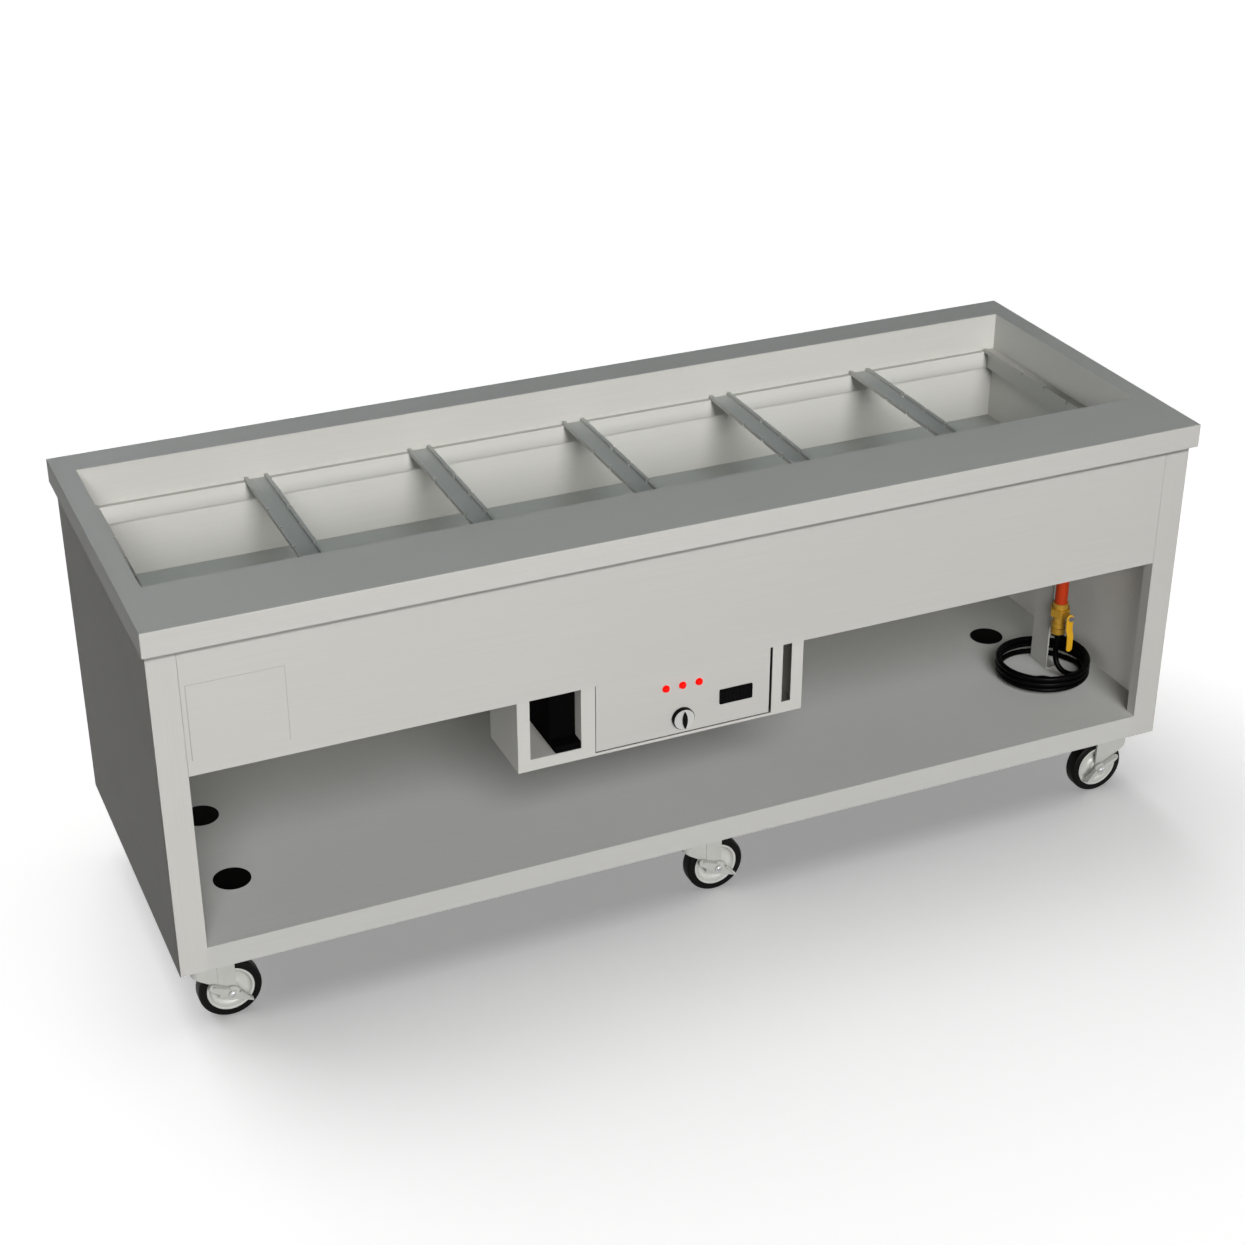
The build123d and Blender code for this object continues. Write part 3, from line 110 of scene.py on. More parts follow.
class Bench:
    """Places and links the nodes of one node tree."""

    def __init__(self, tree: bpy.types.NodeTree) -> None:
        """Keep the tree that the nodes go into."""
        self.tree = tree

    def fill(self, node: bpy.types.Node, inputs: dict) -> None:
        """Give a node's inputs their values.

        Args:
            node: The node.
            inputs: Input name or index to a value, or to the socket that feeds it.
        """
        for key, value in inputs.items():
            if isinstance(value, Socket):
                self.tree.links.new(value, node.inputs[key])
            else:
                node.inputs[key].default_value = value

    def add(self, kind: str, inputs: dict | None = None, **settings: object) -> bpy.types.Node:
        """Add a node.

        Args:
            kind: The node's type, without its ShaderNode prefix.
            inputs: What its inputs get, as for fill.
            settings: The node's own properties.

        Returns:
            The new node.
        """
        node = self.tree.nodes.new("ShaderNode" + kind)
        for name, value in settings.items():
            setattr(node, name, value)
        self.fill(node, inputs or {})
        return node

    def effect(self, name: str, **inputs: object) -> bpy.types.NodeOutputs:
        """Values of a shared effect at the surface's place."""
        inputs["Place"] = self.add("TexCoord").outputs["Object"]
        return self.add("Group", inputs, node_tree=bpy.data.node_groups[name]).outputs

    def seen(self) -> Socket:
        """Tell what the camera sees, straight or by reflection or through glass.

        Returns:
            1 where it is seen, and 0 for other rays.
        """
        path = self.add("LightPath").outputs
        seen = self.maths("MAXIMUM", path["Is Camera Ray"], path["Is Glossy Ray"])
        return self.maths("MAXIMUM", seen, path["Is Transmission Ray"])

    def stretched(self, place: Socket, stretch: object) -> Socket:
        """Coordinates multiplied axis by axis."""
        return self.add("VectorMath", {0: place, 1: stretch}, operation="MULTIPLY").outputs[0]

    def noise(self, place: Socket, scale: object, detail: float) -> Socket:
        """Soft noise between 0 and 1."""
        node = self.add("TexNoise", {"Vector": place, "Scale": scale, "Detail": detail})
        return node.outputs["Fac"]

    def band(
        self, value: Socket, low: float, high: float, start: float = 0.0, end: float = 1.0
    ) -> Socket:
        """Spread the values between two limits over a new range, held at its ends.

        Args:
            value: The value to spread.
            low: Where the old range starts.
            high: Where the old range ends.
            start: What low becomes.
            end: What high becomes.

        Returns:
            The spread value.
        """
        keys = {"Value": value, "From Min": low, "From Max": high, "To Min": start, "To Max": end}
        return self.add("MapRange", keys).outputs["Result"]

    def maths(self, operation: str, first: object, second: object = 0.0) -> Socket:
        """One operation on two values."""
        return self.add("Math", {0: first, 1: second}, operation=operation).outputs[0]

    def blend(self, share: Socket, first: object, second: object) -> Socket:
        """Colour between the first and the second, by the second's share."""
        keys = {MIX_SHARE: share, MIX_FIRST: first, MIX_SECOND: second}
        return self.add("Mix", keys, data_type="RGBA").outputs[MIX_COLOUR]

    def two_tone(self, share: Socket, shade: Colour, factors: Pair) -> Socket:
        """A darker and a lighter tone of one colour, by the lighter one's share."""
        return self.blend(share, shaded(shade, factors[0]), shaded(shade, factors[1]))

    def bump(self, height: Socket, strength: float, distance: float) -> Socket:
        """Normal of a surface with small heights on it."""
        keys = {"Height": height, "Strength": strength, "Distance": distance}
        return self.add("Bump", keys).outputs["Normal"]


class Effects:
    """The effects that several finishes share, each a node group."""

    @staticmethod
    def brushed_lines(bench: Bench, place: Socket, stretch: Socket) -> dict[str, Socket]:
        """Fine polishing lines, and the broad patches that a polishing belt leaves."""
        lines = bench.noise(bench.stretched(place, stretch), scale=1.0, detail=4.0)
        return {"Lines": lines, "Patches": bench.noise(place, scale=3.0, detail=3.0)}

    @staticmethod
    def handling_marks(bench: Bench, place: Socket) -> dict[str, Socket]:
        """Wiped smears, and a few hair scratches, as a used worktop has.

        Args:
            bench: The group's bench.
            place: The surface's place.

        Returns:
            The effect's values.
        """
        wiped = bench.stretched(place, (2.2, 5.0, 5.0))
        smears = bench.band(bench.noise(wiped, scale=1.6, detail=5.0), low=0.52, high=0.78)
        scored = bench.stretched(place, (3.0, 26.0, 26.0))
        middle, width = 0.5, 0.004
        hair = bench.maths("SUBTRACT", bench.noise(scored, scale=1.0, detail=1.0), middle)
        scratches = bench.band(bench.maths("ABSOLUTE", hair), 0.0, width, start=1.0, end=0.0)
        return {"Smears": smears, "Scratches": scratches}

    @staticmethod
    def spangle(bench: Bench, place: Socket, scale: Socket) -> dict[str, Socket]:
        """Crystals of a zinc coat, or cells of a foam.

        Args:
            bench: The group's bench.
            place: The surface's place.
            scale: Crystals in a metre.

        Returns:
            The effect's values.
        """
        keys = {"Vector": place, "Scale": scale, "Randomness": 1.0}
        shade = bench.add("TexVoronoi", keys).outputs["Color"]
        edge = bench.add("TexVoronoi", keys, feature="DISTANCE_TO_EDGE").outputs["Distance"]
        rim_width = 0.06
        return {"Shade": shade, "Rim": bench.band(edge, 0.0, rim_width, start=1.0, end=0.0)}

    @staticmethod
    def speckle(bench: Bench, place: Socket, scale: Socket) -> dict[str, Socket]:
        """Fine grain of a moulding, and its slow cloudiness."""
        grain = bench.noise(place, scale, detail=2.0)
        return {"Grain": grain, "Clouds": bench.noise(place, scale=22.0, detail=3.0)}

    def build(self) -> None:
        """Make every effect once."""
        scale = {"Scale": "Float"}
        kinds = ({"Stretch": "Vector"}, {}, scale, scale)
        draws = (self.brushed_lines, self.handling_marks, self.spangle, self.speckle)
        for draw, kind in zip(draws, kinds):
            tree = bpy.data.node_groups.new(draw.__name__, "ShaderNodeTree")
            inputs = {"Place": "Vector", **kind}
            for name, sort in inputs.items():
                tree.interface.new_socket(name=name, in_out="INPUT", socket_type="NodeSocket" + sort)
            entry = tree.nodes.new("NodeGroupInput")
            bench = Bench(tree)
            values = draw(bench, *(entry.outputs[name] for name in inputs))
            for name in values:
                tree.interface.new_socket(name=name, in_out="OUTPUT", socket_type="NodeSocketFloat")
            bench.fill(tree.nodes.new("NodeGroupOutput"), values)


class Grain(Enum):
    """Axis that polishing lines run along, as waves per metre on X, Y and Z."""

    LENGTHWISE = (5.0, 700.0, 700.0)
    CROSSWISE = (700.0, 5.0, 700.0)
    UPRIGHT = (700.0, 700.0, 5.0)


@dataclass(frozen=True)
class Finish:
    """A finish's name and main shade."""

    name: str
    shade: Colour

    def paint(self, bench: Bench) -> Looks:
        """Work out the shader's values.

        Args:
            bench: The material's bench.

        Returns:
            Name of a socket of the shader to its value.
        """
        raise NotImplementedError

    def make(self) -> None:
        """Build the material."""
        material = bpy.data.materials.new(self.name)
        material.use_nodes = True
        bench = Bench(material.node_tree)
        bench.fill(material.node_tree.nodes["Principled BSDF"], self.paint(bench))


@dataclass(frozen=True)
class BrushedSheet(Finish):
    """Stainless sheet, polished along one axis, with the faint marks of use."""

    grain: Grain
    roughness: float = 0.48
    metallic: float = 0.05
    gloss: float = 0.06
    line_tones: Pair = (0.965, 1.02)
    patch_tone: float = 0.97
    patch_share: float = 0.5
    smear_tone: float = 0.95
    smear_share: float = 0.3
    smear_rough: float = 0.08
    rough_swing: float = 0.05

    def paint(self, bench: Bench) -> Looks:
        """Lay polishing lines, belt patches, smears and scratches over the steel.

        Args:
            bench: The material's bench.

        Returns:
            Name of a socket of the shader to its value.
        """
        belt = bench.effect("brushed_lines", Stretch=self.grain.value)
        marks = bench.effect("handling_marks")
        lines, smears = belt["Lines"], marks["Smears"]
        tone = bench.two_tone(bench.band(lines, low=0.3, high=0.7), self.shade, self.line_tones)
        patchy = bench.band(belt["Patches"], low=0.4, high=0.7, end=self.patch_share)
        tone = bench.blend(patchy, tone, shaded(self.shade, self.patch_tone))
        smeared = bench.maths("MULTIPLY", smears, self.smear_share)
        tone = bench.blend(smeared, tone, shaded(self.shade, self.smear_tone))
        smooth, rough = self.roughness - self.rough_swing, self.roughness + self.rough_swing
        polish = bench.band(lines, low=0.25, high=0.75, start=smooth, end=rough)
        dulled = bench.maths("MULTIPLY", smears, self.smear_rough)
        relief = bench.maths("SUBTRACT", lines, marks["Scratches"])
        return {
            "Base Color": tone,
            "Metallic": self.metallic,
            "Specular IOR Level": self.gloss,
            "Roughness": bench.maths("ADD", polish, dulled),
            "Normal": bench.bump(relief, strength=0.05, distance=0.0002),
        }


@dataclass(frozen=True)
class ZincCoat(Finish):
    """Galvanised sheet with its crystals."""

    crystals: float = 60.0
    metallic: float = 0.15
    gloss: float = 0.3
    crystal_tones: Pair = (0.9, 1.08)
    crystal_rough: Pair = (0.4, 0.58)
    rim_tone: float = 0.85
    rim_share: float = 0.25

    def paint(self, bench: Bench) -> Looks:
        """Shade the crystals one by one, with darker rims.

        Args:
            bench: The material's bench.

        Returns:
            Name of a socket of the shader to its value.
        """
        coat = bench.effect("spangle", Scale=self.crystals)
        tone = bench.two_tone(coat["Shade"], self.shade, self.crystal_tones)
        rims = bench.maths("MULTIPLY", coat["Rim"], self.rim_share)
        return {
            "Base Color": bench.blend(rims, tone, shaded(self.shade, self.rim_tone)),
            "Metallic": self.metallic,
            "Specular IOR Level": self.gloss,
            "Roughness": bench.band(coat["Shade"], 0.0, 1.0, *self.crystal_rough),
        }


@dataclass(frozen=True)
class SolidMetal(Finish):
    """Turned, drawn or plated metal, dulled here and there."""

    tarnish: Colour
    roughness: float
    metallic: float
    gloss: float = 0.4
    grain: float = 900.0
    grain_tones: Pair = (0.95, 1.04)
    tarnished: float = 0.35
    dull_rough: float = 0.3

    def paint(self, bench: Bench) -> Looks:
        """Dull the metal in patches over a fine grain.

        Args:
            bench: The material's bench.

        Returns:
            Name of a socket of the shader to its value.
        """
        skin = bench.effect("speckle", Scale=self.grain)
        tone = bench.two_tone(skin["Grain"], self.shade, self.grain_tones)
        dull = bench.band(skin["Clouds"], low=0.45, high=0.75, end=self.tarnished)
        return {
            "Base Color": bench.blend(dull, tone, self.tarnish),
            "Metallic": self.metallic,
            "Specular IOR Level": self.gloss,
            "Roughness": bench.band(dull, 0.0, 1.0, self.roughness, self.roughness + self.dull_rough),
            "Normal": bench.bump(skin["Grain"], strength=0.05, distance=0.0001),
        }


@dataclass(frozen=True)
class Moulding(Finish):
    """Moulded plastic or rubber with a fine grain."""

    worn: Colour
    grain: float
    roughness: float
    gloss: float
    relief: float
    worn_share: float = 0.6
    rough_swing: float = 0.06

    def paint(self, bench: Bench) -> Looks:
        """Wear the grained moulding in patches.

        Args:
            bench: The material's bench.

        Returns:
            Name of a socket of the shader to its value.
        """
        skin = bench.effect("speckle", Scale=self.grain)
        wear = bench.band(skin["Clouds"], low=0.45, high=0.8, end=self.worn_share)
        smooth, rough = self.roughness - self.rough_swing, self.roughness + self.rough_swing
        return {
            "Base Color": bench.blend(wear, self.shade, self.worn),
            "Specular IOR Level": self.gloss,
            "Roughness": bench.band(skin["Grain"], low=0.3, high=0.7, start=smooth, end=rough),
            "Normal": bench.bump(skin["Grain"], self.relief, distance=0.0002),
        }


@dataclass(frozen=True)
class LitLens(Finish):
    """Coloured lens that glows a little."""

    core: Colour
    glow: float = 0.35
    gloss: float = 0.06
    grain: float = 500.0
    roughness: Pair = (0.18, 0.28)

    def paint(self, bench: Bench) -> Looks:
        """Light the lens from its core.

        Args:
            bench: The material's bench.

        Returns:
            Name of a socket of the shader to its value.
        """
        skin = bench.effect("speckle", Scale=self.grain)
        tone = bench.blend(bench.band(skin["Clouds"], low=0.3, high=0.7), self.shade, self.core)
        return {
            "Base Color": tone,
            "Emission Color": tone,
            "Emission Strength": self.glow,
            "Specular IOR Level": self.gloss,
            "Roughness": bench.band(skin["Grain"], 0.3, 0.7, *self.roughness),
        }


@dataclass(frozen=True)
class OpenFoam(Finish):
    """Open-celled black filter foam, whose black also stands in for the deep shade behind it: partly
    painted shade.
    """

    wall: Colour
    cells: float = 420.0
    gloss: float = 0.02
    roughness: Pair = (0.95, 0.7)

    def paint(self, bench: Bench) -> Looks:
        """Stand the cell walls out from the dark cells.

        Args:
            bench: The material's bench.

        Returns:
            Name of a socket of the shader to its value.
        """
        rim = bench.effect("spangle", Scale=self.cells)["Rim"]
        return {
            "Base Color": bench.blend(rim, self.shade, self.wall),
            "Specular IOR Level": self.gloss,
            "Roughness": bench.band(rim, 0.0, 1.0, *self.roughness),
            "Normal": bench.bump(rim, strength=0.5, distance=0.001),
        }


@dataclass(frozen=True)
class StudioFloor(Finish):
    """Floor that glows where it is seen, and throws little light back."""

    bounce: float = 0.1
    seen_shade: float = 0.9
    glow: float = 0.3
    roughness: float = 0.9

    def paint(self, bench: Bench) -> Looks:
        """Show the floor white, and keep down the light that it throws back.

        Args:
            bench: The material's bench.

        Returns:
            Name of a socket of the shader to its value.
        """
        seen = bench.seen()
        return {
            "Base Color": bench.band(seen, 0.0, 1.0, self.bounce, self.seen_shade),
            "Specular IOR Level": 0.0,
            "Roughness": self.roughness,
            "Emission Color": self.shade,
            "Emission Strength": bench.maths("MULTIPLY", seen, self.glow),
        }


STEEL = srgb(203, 202, 197)
FINISHES = (
    BrushedSheet("steel_lengthwise", STEEL, Grain.LENGTHWISE),
    BrushedSheet("steel_crosswise", STEEL, Grain.CROSSWISE),
    BrushedSheet("steel_upright", STEEL, Grain.UPRIGHT),
    # A duller copy of the same steel with almost no reflection, so that the end panels render as dark
    # as in shade: painted shade
    BrushedSheet("steel_end_panel_shaded", STEEL, Grain.CROSSWISE, roughness=0.52, metallic=0.02, gloss=0.01),
    # Darker steel for the rim round the access cover: a painted shadow line at its top and sides
    BrushedSheet("steel_rim_painted_shadow", srgb(184, 183, 178), Grain.LENGTHWISE),
    ZincCoat("galvanised_sheet", srgb(178, 180, 180)),
    # Metals: shade, tarnish, roughness, metallic, and gloss where it isn't the usual one
    SolidMetal("zinc_plate", srgb(200, 200, 195), srgb(176, 176, 168), 0.42, 0.15),
    SolidMetal("wheel_alloy", srgb(208, 208, 203), srgb(180, 180, 175), 0.45, 0.1),
    SolidMetal("bright_chrome", srgb(205, 206, 207), srgb(170, 170, 170), 0.16, 0.8),
    SolidMetal("copper_tube", srgb(192, 60, 24), srgb(140, 46, 20), 0.38, 0.15, 0.12),
    SolidMetal("cast_brass", srgb(184, 140, 42), srgb(140, 102, 34), 0.36, 0.2),
    SolidMetal("heater_sheath", srgb(96, 92, 88), srgb(60, 54, 50), 0.5, 0.3),
    SolidMetal("knob_disc", srgb(206, 206, 203), srgb(190, 190, 187), 0.3, 0.1),
    # Mouldings: shade, worn shade, grain, roughness, gloss and relief
    Moulding("lever_coat", srgb(222, 168, 30), srgb(196, 142, 24), 700.0, 0.4, 0.4, 0.05),
    Moulding("tyre_rubber", srgb(8, 8, 7), srgb(14, 14, 13), 900.0, 0.44, 0.10, 0.1),
    Moulding("hose_rubber", srgb(4, 4, 4), srgb(8, 8, 8), 900.0, 0.30, 0.05, 0.04),
    Moulding("black_moulding", srgb(5, 5, 5), srgb(10, 10, 10), 1400.0, 0.5, 0.03, 0.1),
    Moulding("knob_moulding", srgb(6, 6, 6), srgb(11, 11, 11), 1400.0, 0.3, 0.06, 0.04),
    Moulding("display_window", srgb(4, 4, 5), srgb(7, 7, 8), 1600.0, 0.14, 0.04, 0.01),
    Moulding("unlit_segment", srgb(14, 9, 9), srgb(18, 12, 12), 1600.0, 0.3, 0.04, 0.01),
    Moulding("wool_blanket", srgb(214, 196, 150), srgb(190, 170, 120), 240.0, 0.95, 0.05, 0.8),
    LitLens("glowing_lens", srgb(236, 12, 8), srgb(246, 20, 12)),
    # The filter's black is its own colour and also stands in for the deep shadow at the back of the
    # bay: partly painted shade
    OpenFoam("filter_foam_and_painted_shade", srgb(6, 6, 6), srgb(16, 16, 16)),
    StudioFloor("white_floor", WHITE),
)


def dress_nodes(finish: str, *nodes: str) -> None:
    """Give CAD nodes a finish.

    Args:
        finish: The finish's name.
        nodes: The nodes that wear it.
    """
    for node in nodes:
        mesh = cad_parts[node].data
        mesh.materials.clear()
        mesh.materials.append(bpy.data.materials[finish])
        log.info("%s wears %s", node, finish)


def show(name: str, data: bpy.types.ID) -> Piece:
    """Put an object into the scene.

    Args:
        name: The object's name.
        data: Its mesh, curve, lamp or camera.

    Returns:
        The object.
    """
    shown = bpy.data.objects.new(name, data)
    bpy.context.scene.collection.objects.link(shown)
    return shown


def add_piece(bm: Mesh, name: str, body: str, finish: str, stands_for: Names = ()) -> Piece:
    """Turn a finished mesh into a piece of the counter, smooth apart from its sharp edges.

    Args:
        bm: The mesh, at its place in the frame. It is used up.
        name: The piece's name.
        body: The body that it rides on.
        finish: The finish that it wears.
        stands_for: The CAD nodes that it replaces.

    Returns:
        The piece.
    """
    for face in bm.faces:
        face.smooth = True
    for edge in bm.edges:
        edge.smooth = len(edge.link_faces) == 2 and edge.calc_face_angle(0.0) < SMOOTH_BELOW
    mesh = bpy.data.meshes.new(name)
    bm.to_mesh(mesh)
    bm.free()
    mesh.materials.append(bpy.data.materials[finish])
    piece = show(name, mesh)
    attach(piece, body)
    if stands_for:
        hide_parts(*stands_for)
    log.info("%s rides on %s", name, body)
    return piece


def merge(bm: Mesh) -> None:
    """Weld the loose triangles of a CAD node's copy into whole faces."""
    bmesh.ops.remove_doubles(bm, verts=bm.verts, dist=SOLID_WELD)
    bmesh.ops.dissolve_limit(bm, angle_limit=FLAT_WITHIN, verts=bm.verts, edges=bm.edges)


def eased_copy(node: str, name: str, body: str, finish: str, ease: float = 0.0) -> Piece:
    """Stand a copy with eased edges in for a CAD node.

    Args:
        node: The CAD node.
        name, body, finish: As for add_piece.
        ease: Width of the eased edges, or 0 to leave them sharp.

    Returns:
        The copy.
    """
    bm = bmesh.new()
    bm.from_mesh(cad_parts[node].data)
    merge(bm)
    piece = add_piece(bm, name, body, finish, (node,))
    if ease:
        bevel = piece.modifiers.new("eased_edges", "BEVEL")
        bevel.width = ease
        bevel.segments = 2
        bevel.limit_method = "ANGLE"
        bevel.angle_limit = EASED_ABOVE
        bevel.harden_normals = True
    return piece


def arc(width: float, height: float, angles: range) -> list[Pair]:
    """Points of a quarter ellipse by angle in degrees, from its side at 0 to its crown at 90."""
    turns = [math.radians(angle) for angle in angles]
    return [(width * math.cos(turn), height * math.sin(turn)) for turn in turns]


def both_sides(side: Sequence[Pair]) -> list[Pair]:
    """One loop of a profile's upper half and its mirror image."""
    return [*side, *((radius, -height) for radius, height in reversed(side))]


def turned(
    profile: Sequence[Pair], centre: Point, axis: Point, steps: int, closed: bool = False
) -> Mesh:
    """Turn a profile on a lathe.

    Args:
        profile: Radius and height along the axis, point by point.
        centre: Where the axis starts.
        axis: The axis's direction.
        steps: Facets round the axis.
        closed: Whether the profile's end joins its start.

    Returns:
        The mesh at its place.
    """
    bm = bmesh.new()
    verts = [bm.verts.new((radius, 0.0, height)) for radius, height in profile]
    after = verts[1:] + verts[:1] if closed else verts[1:]
    edges = [bm.edges.new(pair) for pair in zip(verts, after)]
    bmesh.ops.spin(
        bm, geom=verts + edges, cent=(0, 0, 0), axis=(0, 0, 1), angle=math.tau,
        steps=steps, use_merge=True,
    )
    bmesh.ops.remove_doubles(bm, verts=bm.verts, dist=WELD)
    bmesh.ops.recalc_face_normals(bm, faces=bm.faces)
    turn = Vector((0, 0, 1)).rotation_difference(Vector(axis)).to_matrix().to_4x4()
    bmesh.ops.transform(bm, matrix=Matrix.Translation(centre) @ turn, verts=bm.verts)
    return bm


def raised(bm: Mesh, face: bmesh.types.BMFace, reach: Point, ease: float) -> None:
    """Extrude a lone face into a block and ease its edges.

    Args:
        bm: The mesh that holds the face.
        face: The face.
        reach: How far and which way the block goes.
        ease: Width of the eased edges.
    """
    grown = bmesh.ops.extrude_face_region(bm, geom=[face])["geom"]
    moved = [part for part in grown if isinstance(part, bmesh.types.BMVert)]
    bmesh.ops.translate(bm, vec=reach, verts=moved)
    bmesh.ops.recalc_face_normals(bm, faces=bm.faces)
    edges = [edge for edge in bm.edges if edge.calc_face_angle(0.0) > BLOCK_EDGE]
    bmesh.ops.bevel(
        bm, geom=edges, offset=ease, affect="EDGES", segments=2, profile=0.5, material=-1,
        clamp_overlap=True,
    )


def join_meshes(parts: Sequence[Mesh]) -> Mesh:
    """Gather several meshes into the first, and free the others.

    Args:
        parts: The meshes.

    Returns:
        The first mesh, with all of them in it.
    """
    first = parts[0]
    for part in parts[1:]:
        spare = bpy.data.meshes.new("spare")
        part.to_mesh(spare)
        part.free()
        first.from_mesh(spare)
        bpy.data.meshes.remove(spare)
    return first


@dataclass
class Studio:
    """Camera at the photograph's place, pale world and white floor."""

    eye: Point = (-1.7381, -3.8806, 2.80336)
    right: Point = (0.914518, -0.404544, -0.000677)
    ahead: Point = (0.355119, 0.803588, -0.477636)
    lens: float = 65.396
    sensor: float = 36.0
    sees_to: float = 100.0
    ambient: float = 0.03
    floor_half: float = 20.0

    def build(self) -> None:
        """Set up the camera, the floor and the world."""
        self.place_camera()
        self.lay_floor()
        self.light_world()
        bpy.context.scene.view_settings.view_transform = "Standard"

    def place_camera(self) -> None:
        """Stand the camera where the photograph was taken."""
        data = bpy.data.cameras.new("camera")
        data.lens = self.lens
        data.sensor_width = self.sensor
        data.sensor_fit = "HORIZONTAL"
        data.clip_end = self.sees_to
        camera = show("camera", data)
        right, back = Vector(self.right), -Vector(self.ahead)
        turn = Matrix((right, back.cross(right), back)).transposed().to_4x4()
        camera.matrix_world = Matrix.Translation(self.eye) @ turn
        bpy.context.scene.camera = camera

    def lay_floor(self) -> None:
        """Lay the white floor, which keeps the counter's shadow."""
        bm = bmesh.new()
        bmesh.ops.create_grid(bm, x_segments=1, y_segments=1, size=self.floor_half)
        mesh = bpy.data.meshes.new(FLOOR)
        bm.to_mesh(mesh)
        bm.free()
        mesh.materials.append(bpy.data.materials["white_floor"])
        show(FLOOR, mesh)

    def light_world(self) -> None:
        """White where it is seen, and a faint even light everywhere else."""
        world = bpy.data.worlds.new("studio")
        world.use_nodes = True
        bench = Bench(world.node_tree)
        strength = bench.band(bench.seen(), 0.0, 1.0, self.ambient, 1.0)
        bench.fill(world.node_tree.nodes["Background"], {"Color": WHITE, "Strength": strength})
        bpy.context.scene.world = world


@dataclass
class DrainLine:
    """Copper pipe, ball valve and lever, and the coiled drain hose with its coupling."""

    exit: Point = (0.9912, -0.155, 0.3257)
    lead: tuple[Point, ...] = (
        (0.9912, -0.155, 0.299), (0.9895, -0.1553, 0.266), (0.9916, -0.1652, 0.243),
        (1.0038, -0.1768, 0.2282), (1.0235, -0.183, 0.2212), (1.044, -0.1788, 0.2185),
        (1.0595, -0.1655, 0.2186), (1.0668, -0.147, 0.2185),
    )
    lead_run: float = 0.022
    hose_width: float = 0.0127
    hose_length: float = 2.158
    coil_centre: Pair = (0.971, -0.1355)
    coil_radius: float = 0.102
    start_inset: float = 0.012
    start_angle: float = 25.0
    start_height: float = 0.21845
    settled: float = 0.5
    turns: int = 3
    rise: float = 0.0135
    steps: int = 24
    smoothness: int = 6
    roundness: int = 5
    collar: Profile = ((0.0, 0.0), (0.0055, 0.0))
    ribs: int = 5
    first_rib: float = 0.0006
    rib_pitch: float = 0.0029
    rib: Profile = ((0.0062, 0.0), (0.0068, 0.0007), (0.0068, 0.0017), (0.0062, 0.0024))
    spigot: Profile = (
        (0.0058, 0.016), (0.0045, 0.0162), (0.0045, 0.0252), (0.0041, 0.026),
        (0.0026, 0.026), (0.0026, 0.018), (0.0, 0.018),
    )
    coupling_facets: int = 32
    ease: float = 0.0008

    def coil_point(self, turn: float) -> Vector:
        """Centre of the hose in its coil.

        Args:
            turn: Turns from the coil's start.

        Returns:
            The place.
        """
        ease = min(turn / self.settled, 1.0)
        radius = self.coil_radius - self.start_inset * (1 - ease * ease * (3 - 2 * ease))
        angle = math.radians(self.start_angle) + math.tau * turn
        across = Vector((math.cos(angle), math.sin(angle), 0.0)) * radius
        return across + Vector((*self.coil_centre, self.start_height + self.rise * turn))

    def heading(self, turn: float) -> Vector:
        """Direction of the hose in its coil, level where the coil starts on the shelf.

        Args:
            turn: Turns from the coil's start.

        Returns:
            The direction.
        """
        step = 1e-4
        way = self.coil_point(min(turn + step, self.turns)) - self.coil_point(max(turn - step, 0.0))
        if turn == 0:
            way.z = 0.0
        return way.normalized()

    def end(self) -> Vector:
        """Where the hose enters its coupling."""
        return self.coil_point(self.turns) + self.heading(self.turns) * self.hose_width

    def lay_hose(self) -> Piece:
        """Lay the hose from the valve into its coil.

        Returns:
            The hose, a curve of one spline.
        """
        start = self.coil_point(0) - self.heading(0) * self.hose_width
        route = [Vector(self.exit), *map(Vector, self.lead)]
        route += [start - self.heading(0) * self.lead_run, start]
        route += [self.coil_point(i / self.steps) for i in range(self.turns * self.steps + 1)]
        route.append(self.end())
        data = bpy.data.curves.new("drain_hose_run", "CURVE")
        data.dimensions = "3D"
        spline = data.splines.new("NURBS")
        spline.points.add(len(route) - 1)
        for point, place in zip(spline.points, route):
            point.co = (*place, 1.0)
        spline.order_u = 3
        spline.use_endpoint_u = True
        spline.resolution_u = self.smoothness
        data.bevel_depth = self.hose_width / 2
        data.bevel_resolution = self.roundness
        data.use_fill_caps = True
        data.materials.append(bpy.data.materials["hose_rubber"])
        hose = show("drain_hose_run", data)
        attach(hose, COUNTER)
        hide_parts("drain_hose", "drain_hose_coil")
        log.info("%s rides on %s", hose.name, COUNTER)
        return hose

    def turn_coupling(self) -> Piece:
        """Turn the ribbed coupling on the hose's free end.

        Returns:
            The coupling.
        """
        profile = list(self.collar)
        for number in range(self.ribs):
            low = self.first_rib + number * self.rib_pitch
            profile += [(radius, low + height) for radius, height in self.rib]
        profile += self.spigot
        way = tuple(self.heading(self.turns))
        bm = turned(profile, tuple(self.end()), way, self.coupling_facets)
        finish, slot = "black_moulding", "black_plastic"
        return add_piece(bm, "hose_end_coupling", COUNTER, finish, ("hose_coupling",))

    def build(self) -> None:
        """Lay the hose, and dress the pipe and the valve."""
        hose = self.lay_hose()
        self.turn_coupling()
        handle = "valve_handle"
        eased_copy("drain_pipe", "copper_drain_pipe", COUNTER, "copper_tube")
        eased_copy("valve_body", "brass_valve_body", COUNTER, "cast_brass", self.ease)
        eased_copy("valve_lever", "valve_lever_strap", handle, "lever_coat", self.ease)
        eased_copy("valve_ball", "valve_ball_and_stem", handle, "bright_chrome")
        eased_copy("drain_fitting", "drain_flange", COUNTER, "steel_lengthwise")


